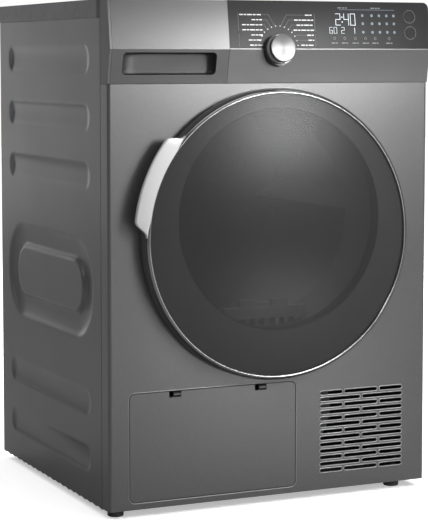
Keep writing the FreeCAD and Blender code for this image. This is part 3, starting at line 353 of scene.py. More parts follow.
def make_materials():
    grey = (0.150, 0.150, 0.150)
    return {
        "cabinet_paint": metallic_paint("cabinet_paint", grey),
        "side_paint": metallic_paint("side_paint", scaled(grey, 0.92)),
        "zinc_sheet": surface("zinc_sheet", (0.52, 0.53, 0.54), 0.42, 0.9, 0.12, 60.0, 0.05, 400.0),
        "worktop_laminate": surface("worktop_laminate", (0.11, 0.11, 0.11), 0.45, 0.35, 0.05, 20.0,
                                    0.25, 1300.0),
        # the fascia's sideways-facing ends get painted shade, their colour times 0.4
        "fascia_silver": paint_cheek_shade(metallic_paint("fascia_silver", (0.17, 0.17, 0.17), 0.38), 0.4),
        "drawer_silver": metallic_paint("drawer_silver", (0.128, 0.128, 0.128), 0.36),
        "overlay_dark": surface("overlay_dark", (0.026, 0.026, 0.027), 0.30, mottle=0.02, rough_spread=0.01,
                                Specular_IOR_Level=0.16),
        "electronics_black": surface("electronics_black", (0.03, 0.03, 0.033), 0.5, grain=0.2),
        "knob_seat_dark": surface("knob_seat_dark", (0.03, 0.03, 0.032), 0.22),
        "knob_silver": surface("knob_silver", (0.50, 0.50, 0.50), 0.38, 0.45, 0.03, 20.0, rough_spread=0.02),
        "knob_aluminium": spun_metal("knob_aluminium", (0.26, 0.26, 0.26), 0.42),
        "button_dark": surface("button_dark", (0.026, 0.026, 0.027), 0.30, mottle=0.02, rough_spread=0.01,
                               Specular_IOR_Level=0.16),
        # drawer paint darkened (0.06 against 0.128) as painted shade inside the finger recess
        "grip_dark": metallic_paint("grip_dark", (0.06, 0.06, 0.06), 0.5),
        "tank_clear": surface("tank_clear", (0.62, 0.66, 0.68), 0.35, grain=0.08),
        "carrier_grey": surface("carrier_grey", (0.20, 0.202, 0.206), 0.5, grain=0.25),
        "tray_black": surface("tray_black", (0.035, 0.035, 0.038), 0.55, grain=0.3),
        "seal_rubber": surface("seal_rubber", (0.025, 0.025, 0.025), 0.62, grain=0.2, grain_scale=500.0),
        "felt": surface("felt", (0.42, 0.41, 0.39), 0.95, 0.0, 0.18, 90.0, 0.9, 700.0),
        "foot_rubber": surface("foot_rubber", (0.10, 0.10, 0.105), 0.6, grain=0.3),
        "fin_aluminium": brushed("fin_aluminium", (0.72, 0.73, 0.74), 0.3, (1, 12, 1)),
        "compressor_black": surface("compressor_black", (0.02, 0.02, 0.021), 0.35, 0.0, 0.2, 40.0,
                                    0.25, 350.0),
        "motor_steel": surface("motor_steel", (0.22, 0.22, 0.23), 0.5, 0.8, 0.15, 60.0, 0.5, 300.0),
        "hinge_steel": brushed("hinge_steel", (0.50, 0.50, 0.51), 0.34, (1, 1, 12)),
        "shaft_steel": brushed("shaft_steel", (0.58, 0.58, 0.59), 0.25, (14, 1, 14)),
        "belt_rubber": surface("belt_rubber", (0.02, 0.02, 0.02), 0.7, grain=0.4),
        "door_paint": metallic_paint("door_paint", (0.13, 0.132, 0.136), 0.34),
        "ring_chrome": surface("ring_chrome", (0.30, 0.30, 0.30), 0.12, 1.0, 0.02, 8.0, rough_spread=0.02),
        # the lip chrome is a brighter copy of the ring chrome: painted highlight along the ring's front edge
        "lip_highlight_chrome": surface("lip_highlight_chrome", (0.80, 0.80, 0.80), 0.22, 1.0, 0.02, 8.0, rough_spread=0.02),
        "handle_silver": surface("handle_silver", (0.64, 0.64, 0.64), 0.34, 0.35, 0.01, 6.0,
                                 rough_spread=0.01),
        "door_glass": smoked_glass("door_glass", (0.034, 0.034, 0.035), 0.50, 0.34),
        "bowl_clear": smoked_glass("bowl_clear", (0.10, 0.10, 0.10), 0.10, 0.45),
        "liner_black": surface("liner_black", (0.20, 0.20, 0.20), 0.50, mottle=0.03),
        "filter_grey": surface("filter_grey", (0.50, 0.50, 0.50), 0.5, grain=0.2),
        "drum_steel": brushed("drum_steel", (0.45, 0.45, 0.45), 0.33, (1, 10, 1)),
        "lifter_grey": surface("lifter_grey", (0.08, 0.08, 0.082), 0.4, grain=0.15),
        # light grey copy of the cabinet paint: painted highlight on the rolled rims of the vents and the flap
        # opening
        "rim_highlight_paint": metallic_paint("rim_highlight_paint", (0.42, 0.42, 0.42), 0.42),
        "band_dark": surface("band_dark", (0.30, 0.30, 0.30), 0.42, mottle=0.04),
        "screw_steel": surface("screw_steel", (0.58, 0.58, 0.57), 0.32, 1.0, 0.1, 200.0),
        "print_white": surface("print_white", (0.95, 0.95, 0.95), 0.5, mottle=0.03),
        "print_grey": surface("print_grey", (0.26, 0.26, 0.26), 0.5, mottle=0.03),
        "led_white": glowing("led_white", (0.80, 0.87, 0.92), 0.55),
        "led_blue": glowing("led_blue", (0.40, 0.50, 0.60), 0.22),
    }


def paint_nodes(materials):
    """Give every CAD node the material of its slot in the record."""
    for entry in frame["record"]["subparts"]:
        node = frame["nodes"][entry["node"]]
        node.data.materials.clear()
        node.data.materials.append(materials[entry["material_slot"]])


# ==================================================================================================
# mesh helpers
# ==================================================================================================
def add_piece(name, mesh, material, body, replaced=(), place=None):
    """Link a mesh as a piece of the object that rides on a body and stands for CAD nodes."""
    piece = bpy.data.objects.new(name, mesh)
    if place is not None:
        piece.matrix_world = place
    bpy.context.scene.collection.objects.link(piece)
    mesh.materials.append(material)
    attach(piece, body)
    if replaced:
        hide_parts(*replaced)
    return piece


def mesh_from(bm, name, smooth_angle=35.0):
    """Finish a bmesh: outward normals, and smooth shading below an angle."""
    bmesh.ops.recalc_face_normals(bm, faces=bm.faces)
    mesh = bpy.data.meshes.new(name)
    bm.to_mesh(mesh)
    bm.free()
    for polygon in mesh.polygons:
        polygon.use_smooth = True
    mesh.set_sharp_from_angle(angle=math.radians(smooth_angle))
    return mesh


def lathe(name, profile, segments=160, smooth_angle=35.0):
    """Turn a closed profile of (radius, height) in millimetres about the local Z axis."""
    bm = bmesh.new()
    rings = []
    for radius, height in profile:
        if radius < 1e-6:
            rings.append([bm.verts.new((0, 0, height * MM))])
            continue
        ring = []
        for i in range(segments):
            angle = math.tau * i / segments
            place = (radius * math.cos(angle) * MM, radius * math.sin(angle) * MM, height * MM)
            ring.append(bm.verts.new(place))
        rings.append(ring)
    for a, b in zip(rings, rings[1:] + rings[:1]):
        if len(a) == 1 and len(b) == 1:
            continue
        for i in range(segments):
            j = (i + 1) % segments
            corners = [a[i % len(a)], a[j % len(a)], b[j % len(b)], b[i % len(b)]]
            unique = list(dict.fromkeys(corners))
            bm.faces.new(unique)
    return mesh_from(bm, name, smooth_angle)


def facing_front(x, z):
    """Placement that turns a lathe's Z axis to point out of the machine's front."""
    return Matrix.Translation((x * MM, 0, z * MM)) @ Matrix.Rotation(math.pi / 2, 4, "X")


def along(base, axis):
    """Placement that puts a lathe's Z axis along axis, starting at base (in millimetres)."""
    return Matrix.Translation(base * MM) @ axis.to_track_quat("Z", "Y").to_matrix().to_4x4()


def stadium(x0, x1, z0, z1, radius, steps=8):
    """Outline of a rounded rectangle as (x, z) points."""
    points = []
    for cx, cz, start in ((x1 - radius, z1 - radius, 0), (x0 + radius, z1 - radius, 90),
                          (x0 + radius, z0 + radius, 180), (x1 - radius, z0 + radius, 270)):
        for i in range(steps + 1):
            angle = math.radians(start + 90 * i / steps)
            points.append((cx + radius * math.cos(angle), cz + radius * math.sin(angle)))
    return points


def tube_loops(name, loops, radius):
    """Closed round-section tubes along loops of (x, y, z) points in millimetres."""
    curve = bpy.data.curves.new(name, "CURVE")
    curve.dimensions = "3D"
    curve.bevel_depth = radius * MM
    curve.bevel_resolution = 2
    for loop in loops:
        spline = curve.splines.new("POLY")
        spline.points.add(len(loop) - 1)
        for point, place in zip(spline.points, loop):
            point.co = (*(Vector(place) * MM), 1)
        spline.use_cyclic_u = True
    holder = bpy.data.objects.new(name, curve)
    bpy.context.scene.collection.objects.link(holder)
    bpy.context.view_layer.update()
    mesh = bpy.data.meshes.new_from_object(holder.evaluated_get(bpy.context.evaluated_depsgraph_get()))
    bpy.data.objects.remove(holder)
    mesh.materials.clear()
    for polygon in mesh.polygons:
        polygon.use_smooth = True
    return mesh


# ==================================================================================================
# cabinet
# ==================================================================================================
RIB_DEPTH = 4.0
RIBS = ((751.0, 24.0), (654.5, 24.0), (558.5, 24.0), (179.5, 24.0), (84.0, 24.0))    # centre z, half height
RIB_Y = (-172.0, 240.0)
RING_DEPTH = 8.0
RING_CHANNEL = (-187.0, 251.0, 278.0, 457.0)
RING_PLATEAU = (-131.0, 198.0, 326.0, 411.0)
RING_SLOPE = 46.0           # how far the channel's floor runs in from its outer edge
PLATEAU_STEP = 7.0
PANEL_GRID = 3.0
TOOTH_PITCH = 26.0
TOOTH_HEIGHT = 3.0
SEAM = 1.0


def inside_distance(y, z, box, radius):
    """Distance inside (positive) the outline of a rounded rectangle."""
    y0, y1, z0, z1 = box
    dy = abs(y - (y0 + y1) / 2) - (y1 - y0) / 2 + radius
    dz = abs(z - (z0 + z1) / 2) - (z1 - z0) / 2 + radius
    outside = math.hypot(max(dy, 0), max(dz, 0))
    return radius - outside - min(max(dy, dz), 0)


def soft_step(distance, width):
    t = min(max(distance / width, 0), 1)
    return t * t * (3 - 2 * t)


def trough(distance, width):
    """Round-bottomed groove with a firm edge."""
    t = min(max(distance / width, 0), 1)
    return (1 - (1 - t) ** 2) * soft_step(distance, width * 0.3)


def press_depth(y, z):
    """How far the side panel is pressed in at a point."""
    depth = 0.0
    for centre, half in RIBS:
        if abs(z - centre) < half:
            box = (*RIB_Y, centre - half, centre + half)
            depth = max(depth, RIB_DEPTH * trough(inside_distance(y, z, box, half - 1), half))
    channel_r = (RING_CHANNEL[3] - RING_CHANNEL[2]) / 2 - 4
    plateau_r = (RING_PLATEAU[3] - RING_PLATEAU[2]) / 2 - 2
    ring = trough(inside_distance(y, z, RING_CHANNEL, channel_r), RING_SLOPE)
    ring *= 1 - 0.85 * soft_step(inside_distance(y, z, RING_PLATEAU, plateau_r) + PLATEAU_STEP, PLATEAU_STEP)
    return max(depth, RING_DEPTH * ring)


def side_panel(side, name, material):
    """Pressed steel side with soft-edged beads, a folded flange all round and a toothed lower edge."""
    low, high = SIDE_LOW.copy(), SIDE_HIGH.copy()
    low.y += SEAM
    columns = round((high.y - low.y) / PANEL_GRID)
    rows = round((high.z - low.z) / PANEL_GRID)
    bm = bmesh.new()
    grid = []
    for i in range(columns + 1):
        y = low.y + (high.y - low.y) * i / columns
        line = []
        for j in range(rows + 1):
            z = low.z + (high.z - low.z) * j / rows
            if j == 0:
                z += TOOTH_HEIGHT * ((y - low.y) % TOOTH_PITCH) / TOOTH_PITCH
            line.append(bm.verts.new((side * (HALF - press_depth(y, z)) * MM, y * MM, z * MM)))
        grid.append(line)
    for i in range(columns):
        for j in range(rows):
            bm.faces.new((grid[i][j], grid[i + 1][j], grid[i + 1][j + 1], grid[i][j + 1]))
    for inward in (1.0, 7.0):
        rim = [e for e in bm.edges if e.is_boundary]
        made = bmesh.ops.extrude_edge_only(bm, edges=rim)["geom"]
        for vert in (v for v in made if isinstance(v, bmesh.types.BMVert)):
            vert.co.x -= side * inward * MM
    mesh = mesh_from(bm, name, 50.0)
    piece = add_piece(name, mesh, material, "cabinet",
                      ["left_side_panel" if side < 0 else "right_side_panel"])
    skin = piece.modifiers.new("sheet", "SOLIDIFY")
    skin.thickness = 1.0 * MM
    skin.offset = -1.0
    return piece


VENT_ROWS = 13
VENT_PITCH = 11.22
VENT_FIRST_Z = 45.9
VENT_HEIGHT = 5.7
VENT_THREE = ((91.0, 133.5), (138.2, 201.9), (207.5, 251.5))
VENT_TWO = ((91.0, 168.2), (173.4, 251.5))


def vent_rims(material):
    """Rolled rim round every vent slot, standing a little proud of the panel; its paint is lighter than the
    cabinet's as a painted highlight.
    """
    loops = []
    for row in range(VENT_ROWS):
        z = VENT_FIRST_Z + row * VENT_PITCH
        for x0, x1 in VENT_THREE if row % 2 == 0 else VENT_TWO:
            outline = stadium(x0 - 0.9, x1 + 0.9, z - VENT_HEIGHT / 2 - 0.9, z + VENT_HEIGHT / 2 + 0.9,
                              VENT_HEIGHT / 2 + 0.85)
            loops.append([(x, FRONT_Y, zz) for x, zz in outline])
    mesh = tube_loops("vent_rims", loops, 0.95)
    add_piece("vent_rims", mesh, material, "cabinet")


def flap_rims(materials):
    """Rolled edge of the flap's opening in a lighter paint as a painted highlight, and a dark strip in the
    gap as painted shadow.
    """
    low, high = (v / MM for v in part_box("service_flap"))
    x0, x1, z0, z1 = low.x + 7.0, high.x - 7.0, low.z, high.z
    outer = stadium(x0 - 2.1, x1 + 2.1, z0 - 2.3, z1 + 2.1, 11.0)
    # the flap opening's rim takes the lighter paint as a painted highlight
    mesh = tube_loops("flap_opening_rim", [[(x, FRONT_Y + 0.1, z) for x, z in outer]], 0.6)
    add_piece("flap_opening_rim", mesh, materials["rim_highlight_paint"], "cabinet")
    # dark tube sunk in the gap round the flap: painted shadow, so the gap reads dark
    gap = stadium(x0 - 0.7, x1 + 0.7, z0 - 0.8, z1 + 0.7, 9.7)
    mesh = tube_loops("flap_gap_shadow", [[(x, FRONT_Y + 1.1, z) for x, z in gap]], 0.5)
    add_piece("flap_gap_shadow", mesh, materials["seal_rubber"], "cabinet")


def latch_bars(materials):
    """Painted finger bar on each flap latch."""
    for name in ("flap_latch_left", "flap_latch_right"):
        low, high = (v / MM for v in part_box(name))
        bm = bmesh.new()
        bmesh.ops.create_cube(bm, size=1.0)
        size = Vector((high.x - low.x - 9.0, 1.0, 2.6))
        bmesh.ops.scale(bm, verts=bm.verts, vec=size * MM)
        middle = Vector((low.x + 0.5 + size.x / 2, FRONT_Y + 0.6, high.z - 3.5))
        bmesh.ops.translate(bm, verts=bm.verts, vec=middle * MM)
        bmesh.ops.bevel(bm, geom=bm.edges[:], offset=0.3 * MM, segments=2, affect="EDGES")
        add_piece(name + "_bar", mesh_from(bm, name + "_bar"), materials["cabinet_paint"], name)


# ==================================================================================================
# door
# ==================================================================================================
def dome(radius, apex, edge):
    """Height of the glass's shallow dome at a radius, as a distance towards the front."""
    rise = edge - apex
    sphere = (GLASS_R ** 2 + rise ** 2) / (2 * rise)
    return -(apex + sphere - math.sqrt(sphere ** 2 - radius ** 2))


def door_glass(material):
    rings = 24
    radii = [GLASS_R * i / rings for i in range(rings + 1)]
    outer = [(r, dome(r, GLASS_APEX_Y, GLASS_EDGE_Y)) for r in radii]
    inner = [(r, h - GLASS_THICK) for r, h in reversed(outer)]
    mesh = lathe("door_glass_pane", outer + inner, 192, 30.0)
    add_piece("door_glass_pane", mesh, material, "door", ["door_glass"],
              facing_front(DOOR_X, DOOR_Z))


def door_band(material):
    """Opaque band on the back of the glass: round outside, with the bowl's off-centre window cut from it."""
    segments, rings = 192, 8
    bm = bmesh.new()
    layers = []
    for lift in (0.2, 0.6):
        grid = []
        for i in range(rings + 1):
            t = i / rings
            line = []
            for k in range(segments):
                angle = math.tau * k / segments
                radius = WINDOW_EDGE_R * (1 - t) + BAND_OUTER_R * t
                x = DOOR_X * t + radius * math.cos(angle)
                z = (WINDOW_Z - DOOR_Z) * (1 - t) + radius * math.sin(angle)
                y = -dome(math.hypot(x - DOOR_X, z), GLASS_APEX_Y, GLASS_EDGE_Y) + GLASS_THICK + lift
                line.append(bm.verts.new((x * MM, y * MM, (z + DOOR_Z) * MM)))
            grid.append(line)
        layers.append(grid)
    front, back = layers
    for k in range(segments):
        m = (k + 1) % segments
        for i in range(rings):
            bm.faces.new((front[i][k], front[i][m], front[i + 1][m], front[i + 1][k]))
            bm.faces.new((back[i][k], back[i + 1][k], back[i + 1][m], back[i][m]))
        for i in (0, rings):
            bm.faces.new((front[i][k], back[i][k], back[i][m], front[i][m]))
    add_piece("door_glass_band", mesh_from(bm, "door_glass_band", 30.0), material, "door")


def door_ring(material):
    """Polished ring: a narrow flat lip next to the glass, then a shoulder that rolls away to the rim."""
    r0, r1 = RING_R
    face, back = -RING_FACE_Y, 274.0
    profile = [(r0, back), (r1, back)]
    for i in range(10):
        angle = math.pi / 2 * i / 9
        profile.append((r0 + 1.4 + (r1 - r0 - 1.4) * math.cos(angle),
                        back + 0.4 + (face - back - 0.4) * math.sin(angle)))
    profile += [(r0 + 0.5, face), (r0, face - 0.5)]
    mesh = lathe("door_trim_ring", profile, 256, 40.0)
    add_piece("door_trim_ring", mesh, material, "door", ["door_ring"],
              facing_front(DOOR_X, DOOR_Z))


def ring_lip(material):
    """Turned lip along the front of the ring: its round section catches light, and its chrome is brighter
    than the ring's as a painted highlight.
    """
    radius = RING_R[0] + 1.3
    loop = [(DOOR_X + radius * math.cos(math.tau * i / 256), RING_FACE_Y + 0.1,
             DOOR_Z + radius * math.sin(math.tau * i / 256)) for i in range(256)]
    add_piece("door_ring_lip", tube_loops("door_ring_lip", [loop], 1.0), material, "door")


def handle_outer_radius(angle):
    """Outer edge of the grip plate: it swells out of the ring through a soft S at each end."""
    start, end, ease = 136.0, 179.0, 6.5
    t = min((angle - start) / ease, (end - angle) / ease, 1.0)
    t = max(t, 0.0)
    eased = t * t * t * (t * (6 * t - 15) + 10)
    return RING_R[1] + 0.9 + (HANDLE_R - RING_R[1] - 0.9) * eased


def end_blend(angle):
    """1 at the grip's two ends, falling to 0 a few degrees in."""
    t = min(max(min(angle - 136.0, 179.0 - angle) / 8.0, 0.0), 1.0)
    return 1 - t * t * (3 - 2 * t)


def door_handle(material):
    """Grip plate along the ring's upper left, with rounded edges and a lip rolled towards the panel."""
    start, end, steps = 136.0, 179.0, 96
    front, back, edge = -281.4, -273.0, 2.2
    bm = bmesh.new()
    sections = []
    for i in range(steps + 1):
        angle = start + (end - start) * i / steps
        outer = handle_outer_radius(angle)
        inner = min(HANDLE_INNER_R + (RING_R[1] + 0.3 - HANDLE_INNER_R) * end_blend(angle), RING_R[1] + 0.3)
        width = outer - inner
        rounding = min(edge, width * 0.45)
        outline = [(inner, front + 0.4)]
        for k in range(5):
            turn = math.radians(90 * k / 4)
            outline.append((outer - rounding + rounding * math.sin(turn),
                            front + rounding - rounding * math.cos(turn)))
        for k in range(5):
            turn = math.radians(90 * k / 4)
            outline.append((outer - rounding + rounding * math.cos(turn),
                            back - rounding + rounding * math.sin(turn)))
        outline.append((RING_R[1] + 0.3, back))
        outline.append((RING_R[1] + 0.3, RING_FACE_Y + 0.8))
        outline.append((inner, RING_FACE_Y - 0.3))
        a = math.radians(angle)
        places = [(DOOR_X + r * math.cos(a), y, DOOR_Z + r * math.sin(a)) for r, y in outline]
        sections.append([bm.verts.new((x * MM, y * MM, z * MM)) for x, y, z in places])
    for one, two in zip(sections, sections[1:]):
        for k in range(len(one)):
            m = (k + 1) % len(one)
            bm.faces.new((one[k], one[m], two[m], two[k]))
    bm.faces.new(sections[0])
    bm.faces.new(sections[-1])
    add_piece("door_grip_plate", mesh_from(bm, "door_grip_plate", 50.0), material, "door",
              ["door_handle"])


# ==================================================================================================
# control fascia: knob, prints and display
# ==================================================================================================
def face_y(z):
    """Y of the fascia's upper face at height z."""
    t = (z - RIDGE_Z) / (TOP_Z - RIDGE_Z)
    return FRONT_Y - RIDGE_OUT * (1 - t) - 4 * t * (1 - t)


def lower_face_y(z):
    """Y of the fascia's hollow lower face at height z."""
    t = (z - PANEL_TOP) / (RIDGE_Z - PANEL_TOP)
    return FRONT_Y - 6.9 * t - 4.6 * t * t


def finger_cup(material):
    """Cup behind the drawer's finger opening; its walls curve into the back, most of all at the left. Its
    paint is darker than the drawer's as painted shade.
    """
    x0, x1, z0, z1 = -274.8, -107.2, 724.7, 762.6
    back, steps = -240.5, 14
    bm = bmesh.new()
    loops = []
    for i in range(steps + 1):
        turn = math.pi / 2 * i / steps
        curl, reach = 1 - math.cos(turn), math.sin(turn)
        loop = []
        for x, z in stadium(x0 + 30 * curl, x1 - 10 * curl, z0 + 4 * curl, z1 - 4 * curl, 7.8 + 3 * curl):
            front = lower_face_y(z) + 3.1
            loop.append(bm.verts.new((x * MM, (front + (back - front) * reach) * MM, z * MM)))
        loops.append(loop)
    for one, two in zip(loops, loops[1:]):
        for k in range(len(one)):
            m = (k + 1) % len(one)
            bm.faces.new((one[k], one[m], two[m], two[k]))
    bm.faces.new(loops[-1])
    cup = add_piece("drawer_finger_cup", mesh_from(bm, "drawer_finger_cup", 60.0), material, "water_tank",
                    ["tank_grip"])
    wall = cup.modifiers.new("wall", "SOLIDIFY")
    wall.thickness = 0.8 * MM
    wall.offset = 0.0


def print_mark(bm, outline, thick=0.22):
    """Thin printed mark on the fascia's upper face, from an outline of (x, z) points."""
    front = [bm.verts.new((x * MM, (face_y(z) - thick) * MM, z * MM)) for x, z in outline]
    back = [bm.verts.new((x * MM, (face_y(z) + 0.1) * MM, z * MM)) for x, z in outline]
    bm.faces.new(front)
    bm.faces.new(list(reversed(back)))
    for i in range(len(outline)):
        j = (i + 1) % len(outline)
        bm.faces.new((front[i], front[j], back[j], back[i]))


def bar(x0, x1, z0, z1):
    return [(x0, z0), (x1, z0), (x1, z1), (x0, z1)]


def disc(x, z, radius, count=14):
    return [(x + radius * math.cos(math.tau * i / count), z + radius * math.sin(math.tau * i / count))
            for i in range(count)]


def stroke(x0, z0, x1, z1, width):
    """Outline of a straight line of some width."""
    length = math.hypot(x1 - x0, z1 - z0)
    dx, dz = -(z1 - z0) / length * width / 2, (x1 - x0) / length * width / 2
    return [(x0 - dx, z0 - dz), (x1 - dx, z1 - dz), (x1 + dx, z1 + dz), (x0 + dx, z0 + dz)]


def ring_marks(x, z, radius, width, count=28):
    """Quads that make a thin ring."""
    quads = []
    for i in range(count):
        a, b = math.tau * i / count, math.tau * (i + 1) / count
        inner, outer = radius - width / 2, radius + width / 2
        quads.append([(x + r * math.cos(t), z + r * math.sin(t)) for r, t in
                      ((inner, a), (outer, a), (outer, b), (inner, b))])
    return quads


def add_prints(name, outlines, material, body="cabinet"):
    bm = bmesh.new()
    for outline in outlines:
        print_mark(bm, outline)
    add_piece(name, mesh_from(bm, name), material, body)


ROW_TOP = 824.3
ROW_PITCH = 8.38
DIAL_X = 4.0
DIAL_Z = 770.0
DIAL_R = 36.0
LEFT_LENGTHS = (41, 19, 37, 37, 21, 26, 24)
RIGHT_LENGTHS = (15, 36, 32, 38, 13, 11, 25)


def dash_row(x0, x1, z):
    """A label shown as plain dashes of uneven length."""
    marks = []
    x = x0
    lengths = (7.0, 4.0, 9.0, 5.5, 8.0)
    k = 0
    while x < x1 - 1.5:
        end = min(x + lengths[k % len(lengths)], x1)
        marks.append(bar(x, end, z - 0.9, z + 0.9))
        x = end + 1.6
        k += 1
    return marks


def programme_prints(materials):
    """Programme dots round the knob, dashes in place of the programme names, and their leader lines."""
    bright, faint = [], []
    for i in range(14):
        angle = math.radians(6 + 12.92 * i)
        bright.append(disc(DIAL_X + DIAL_R * math.cos(angle), DIAL_Z + DIAL_R * math.sin(angle), 0.95))
    for row in range(7):
        z = ROW_TOP - ROW_PITCH * row
        bright += dash_row(-25 - LEFT_LENGTHS[row], -25, z)
        bright += dash_row(71 - RIGHT_LENGTHS[row], 71, z)
        right_angle = math.radians(6 + 12.92 * (6 - row))
        dot_x = DIAL_R * math.cos(right_angle)
        dot_z = DIAL_Z + DIAL_R * math.sin(right_angle)
        reach_left = DIAL_X - dot_x
        reach_right = DIAL_X + dot_x
        label_start = 71 - RIGHT_LENGTHS[row] - 1.5
        for dot, start in ((reach_left, -23.5), (reach_right, label_start)):
            side = 1 if start > dot else -1
            bend = dot + side * min(abs(z - dot_z) * 0.6 + 1.5, max(abs(start - dot) - 1, 0.5))
            faint.append(stroke(dot + side * 1.4, dot_z, bend, z, 0.35))
            if abs(start - bend) > 1.0:
                faint.append(stroke(bend, z, start, z, 0.35))
    for x, top, bottom in ((-68.5, 0, 3), (-68.5, 4, 6), (73.5, 0, 3), (73.5, 4, 6)):
        faint.append(stroke(x, ROW_TOP - ROW_PITCH * top + 2, x, ROW_TOP - ROW_PITCH * bottom - 2, 0.4))
    add_prints("programme_marks", bright, materials["print_white"])
    add_prints("programme_leaders", faint, materials["print_grey"])


SEGMENTS = {"0": "abcdef", "1": "bc", "2": "abged", "3": "abgcd", "4": "fgbc", "6": "afgedc"}


def digit(character, x, z, width, height, thick):
    """Seven-segment digit whose lower left corner is at x, z."""
    middle = z + height / 2
    bars = {
        "a": bar(x, x + width, z + height - thick, z + height),
        "b": bar(x + width - thick, x + width, middle, z + height),
        "c": bar(x + width - thick, x + width, z, middle),
        "d": bar(x, x + width, z, z + thick),
        "e": bar(x, x + thick, z, middle),
        "f": bar(x, x + thick, middle, z + height),
        "g": bar(x, x + width, middle - thick / 2, middle + thick / 2),
    }
    return [bars[s] for s in SEGMENTS[character]]


def display_prints(materials):
    """Lit time and option digits, plus two grids of small generic symbols."""
    lit = []
    for character, x in (("2", 113.4), ("4", 129.5), ("0", 142.0)):
        lit += digit(character, x, 807.7, 9.6, 20.0, 0.9)
    lit += [disc(126.3, 813.5, 1.1), disc(126.3, 821.5, 1.1)]
    for character, x in (("6", 101.0), ("0", 109.3), ("2", 123.6)):
        lit += digit(character, x, 794.0, 6.0, 10.6, 0.55)
    lit.append(bar(149.0, 149.9, 794.0, 804.0))
    add_prints("display_digits", lit, materials["led_white"])
    symbols = []
    for x in (166.0, 184.0, 198.5, 213.0, 227.0):
        for z in (824.6, 811.0, 796.5):
            symbols += ring_marks(x, z, 1.9, 0.7, 14)
            symbols.append(bar(x - 0.5, x + 0.5, z - 1.0, z + 1.0))
    symbols.append(stroke(122, 834.2, 229, 834.2, 0.35))
    add_prints("display_symbols", symbols, materials["led_blue"])
    touch = []
    for x in (110.0, 129.5, 150.0, 169.7, 188.4, 215.8):
        touch += ring_marks(x, 786.0, 2.1, 0.6, 16)
        touch += dash_row(x - 6.0, x + 6.0, 778.0)
    for z in (823.6, 795.7):
        touch += ring_marks(258.5, z, 11.0, 0.5, 40)
    for x in (128.0, 192.0):
        touch += dash_row(x - 9.0, x + 9.0, 837.2)
    add_prints("touch_marks", touch, materials["print_grey"])


def programme_knob(materials):
    """Knob body and spun cap turned about the tilted axis."""
    place = along(KNOB_BASE, KNOB_AXIS)
    body = [(0, 7.4), (24.1, 7.4), (24.6, 8.4), (24.3, 14.6), (23.6, 15.4), (22.1, 15.4), (22.1, 16.6),
            (0, 16.6)]
    mesh = lathe("knob_grip", body, 128, 30.0)
    add_piece("knob_grip", mesh, materials["knob_silver"], "programme_knob", (), place)
    cap = [(0, 16.7), (23.3, 16.7), (23.3, 20.6), (23.0, 21.4), (22.2, 21.9), (21.4, 22.0), (0, 21.7)]
    mesh = lathe("knob_face", cap, 128, 30.0)
    add_piece("knob_face", mesh, materials["knob_aluminium"], "programme_knob",
              ["knob_cap"], place)


# ==================================================================================================
# back and inside
# ==================================================================================================
SCREW_PLACES = [(x, z) for x in (-276.0, 276.0) for z in (60.0, 240.0, 420.0, 600.0, 780.0)]
SCREW_PLACES += [(x, 800.0) for x in (-150.0, 0.0, 150.0)]


def panel_screws(material):
    """Domed cross-recess screws in place of the plain cylinders on the back."""
    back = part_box("rear_panel")[1].y / MM
    bm = bmesh.new()
    for x, z in SCREW_PLACES:
        head = lathe("screw_head", [(0, 0), (4.0, 0), (4.0, 0.7), (3.3, 1.7), (2.2, 2.2), (0, 2.3)], 20)
        turn = Matrix.Translation((x * MM, back * MM, z * MM)) @ Matrix.Rotation(-math.pi / 2, 4, "X")
        head.transform(turn)
        bm.from_mesh(head)
        bpy.data.meshes.remove(head)
        for wide, tall in ((3.6, 0.9), (0.9, 3.6)):
            blade = bmesh.ops.create_cube(bm, size=1.0)["verts"]
            bmesh.ops.scale(bm, verts=blade, vec=(wide * MM, 0.5 * MM, tall * MM))
            bmesh.ops.translate(bm, verts=blade, vec=(x * MM, (back + 2.15) * MM, z * MM))
    add_piece("panel_screw_heads", mesh_from(bm, "panel_screw_heads"), material, "cabinet",
              ["panel_screws"])


def seam_shadow_strips(material):
    """Dark strips in the joints between the side panels, the front panel and the fascia: painted shadow that
    makes the gaps read dark.
    """
    bm = bmesh.new()
    inset = 0.6
    places = [((side * (HALF - inset - 2.0), SIDE_LOW.y - 0.2, 431.0), (4.0, 2.4, 822.0)) for side in (-1, 1)]
    places.append(((0, (FRONT_Y + SIDE_LOW.y) / 2 + 1.0, PANEL_TOP + 0.4), (2 * (HALF - inset), 30.0, 0.8)))
    for middle, size in places:
        verts = bmesh.ops.create_cube(bm, size=1.0)["verts"]
        bmesh.ops.scale(bm, verts=verts, vec=Vector(size) * MM)
        bmesh.ops.translate(bm, verts=verts, vec=Vector(middle) * MM)
    add_piece("seam_shadow_strips", mesh_from(bm, "seam_shadow_strips"), material, "cabinet")


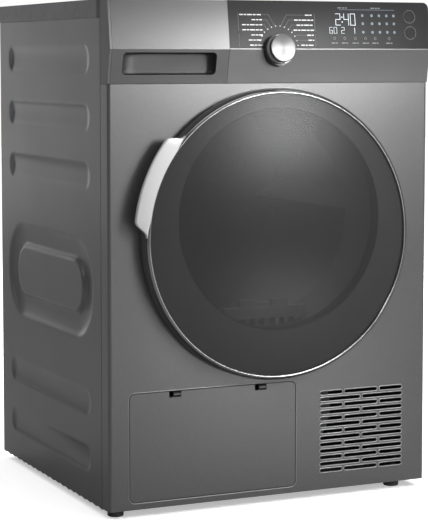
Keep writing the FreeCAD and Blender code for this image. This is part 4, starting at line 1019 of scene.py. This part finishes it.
def build_pieces(materials):
    side_panel(-1, "left_side_skin", materials["side_paint"])
    side_panel(1, "right_side_skin", materials["side_paint"])
    vent_rims(materials["rim_highlight_paint"])
    flap_rims(materials)
    latch_bars(materials)
    door_glass(materials["door_glass"])
    door_band(materials["band_dark"])
    door_ring(materials["ring_chrome"])
    ring_lip(materials["lip_highlight_chrome"])
    door_handle(materials["handle_silver"])
    finger_cup(materials["grip_dark"])
    programme_prints(materials)
    display_prints(materials)
    programme_knob(materials)
    panel_screws(materials["screw_steel"])
    seam_shadow_strips(materials["seal_rubber"])


def add_drum_lamp():
    """Small lamp at the top of the drum's mouth, as such machines have behind the door."""
    data = bpy.data.lights.new("drum_lamp", "POINT")
    data.energy = 0.75
    data.shadow_soft_size = 0.03
    lamp = bpy.data.objects.new("drum_lamp", data)
    lamp.location = (0.02, -0.10, 0.68)
    bpy.context.scene.collection.objects.link(lamp)


def light_the_studio():
    add_world()
    add_area_light("key_front_right", (1.25, -3.1, 1.15), (0, -0.25, 0.55), (0.9, 0.9), 6.0)
    add_area_light("key_near", (0.44, -1.12, 0.88), (0, -0.25, 0.68), (0.34, 0.34), 7.4)
    add_area_light("key_low", (0.42, -1.20, 0.10), (0, -0.25, 0.12), (0.40, 0.20), 0.9)
    add_area_light("back_left", (-0.85, 3.0, 0.78), (-0.3, 0, 0.6), (0.4, 1.2), 4.2)
    add_area_light("side_near", (-1.25, 0.85, 0.66), (-0.30, 0.12, 0.60), (0.5, 0.5), 0.5)
    add_area_light("floor_back_right", (1.7, 1.5, 2.0), (1.7, 1.5, 0), (1.6, 1.6), 90.0)
    add_area_light("floor_front_left", (-2.0, -1.2, 2.0), (-2.0, -1.2, 0), (1.4, 1.4), 24.0)
    add_area_light("rear_fill", (1.5, 3.0, 1.5), (0, 0.3, 0.4), (1.5, 1.5), 14.0)
    sun = bpy.data.lights.new("overhead", "SUN")
    sun.energy = 1.9
    sun.angle = math.radians(80.0)
    overhead = bpy.data.objects.new("overhead", sun)
    overhead.rotation_euler = (math.radians(-8.0), math.radians(6.0), 0)
    bpy.context.scene.collection.objects.link(overhead)
    add_drum_lamp()


add_camera()
MATERIALS = make_materials()
paint_nodes(MATERIALS)
build_pieces(MATERIALS)
add_floor()
light_the_studio()
bpy.context.scene.view_settings.view_transform = "Standard"
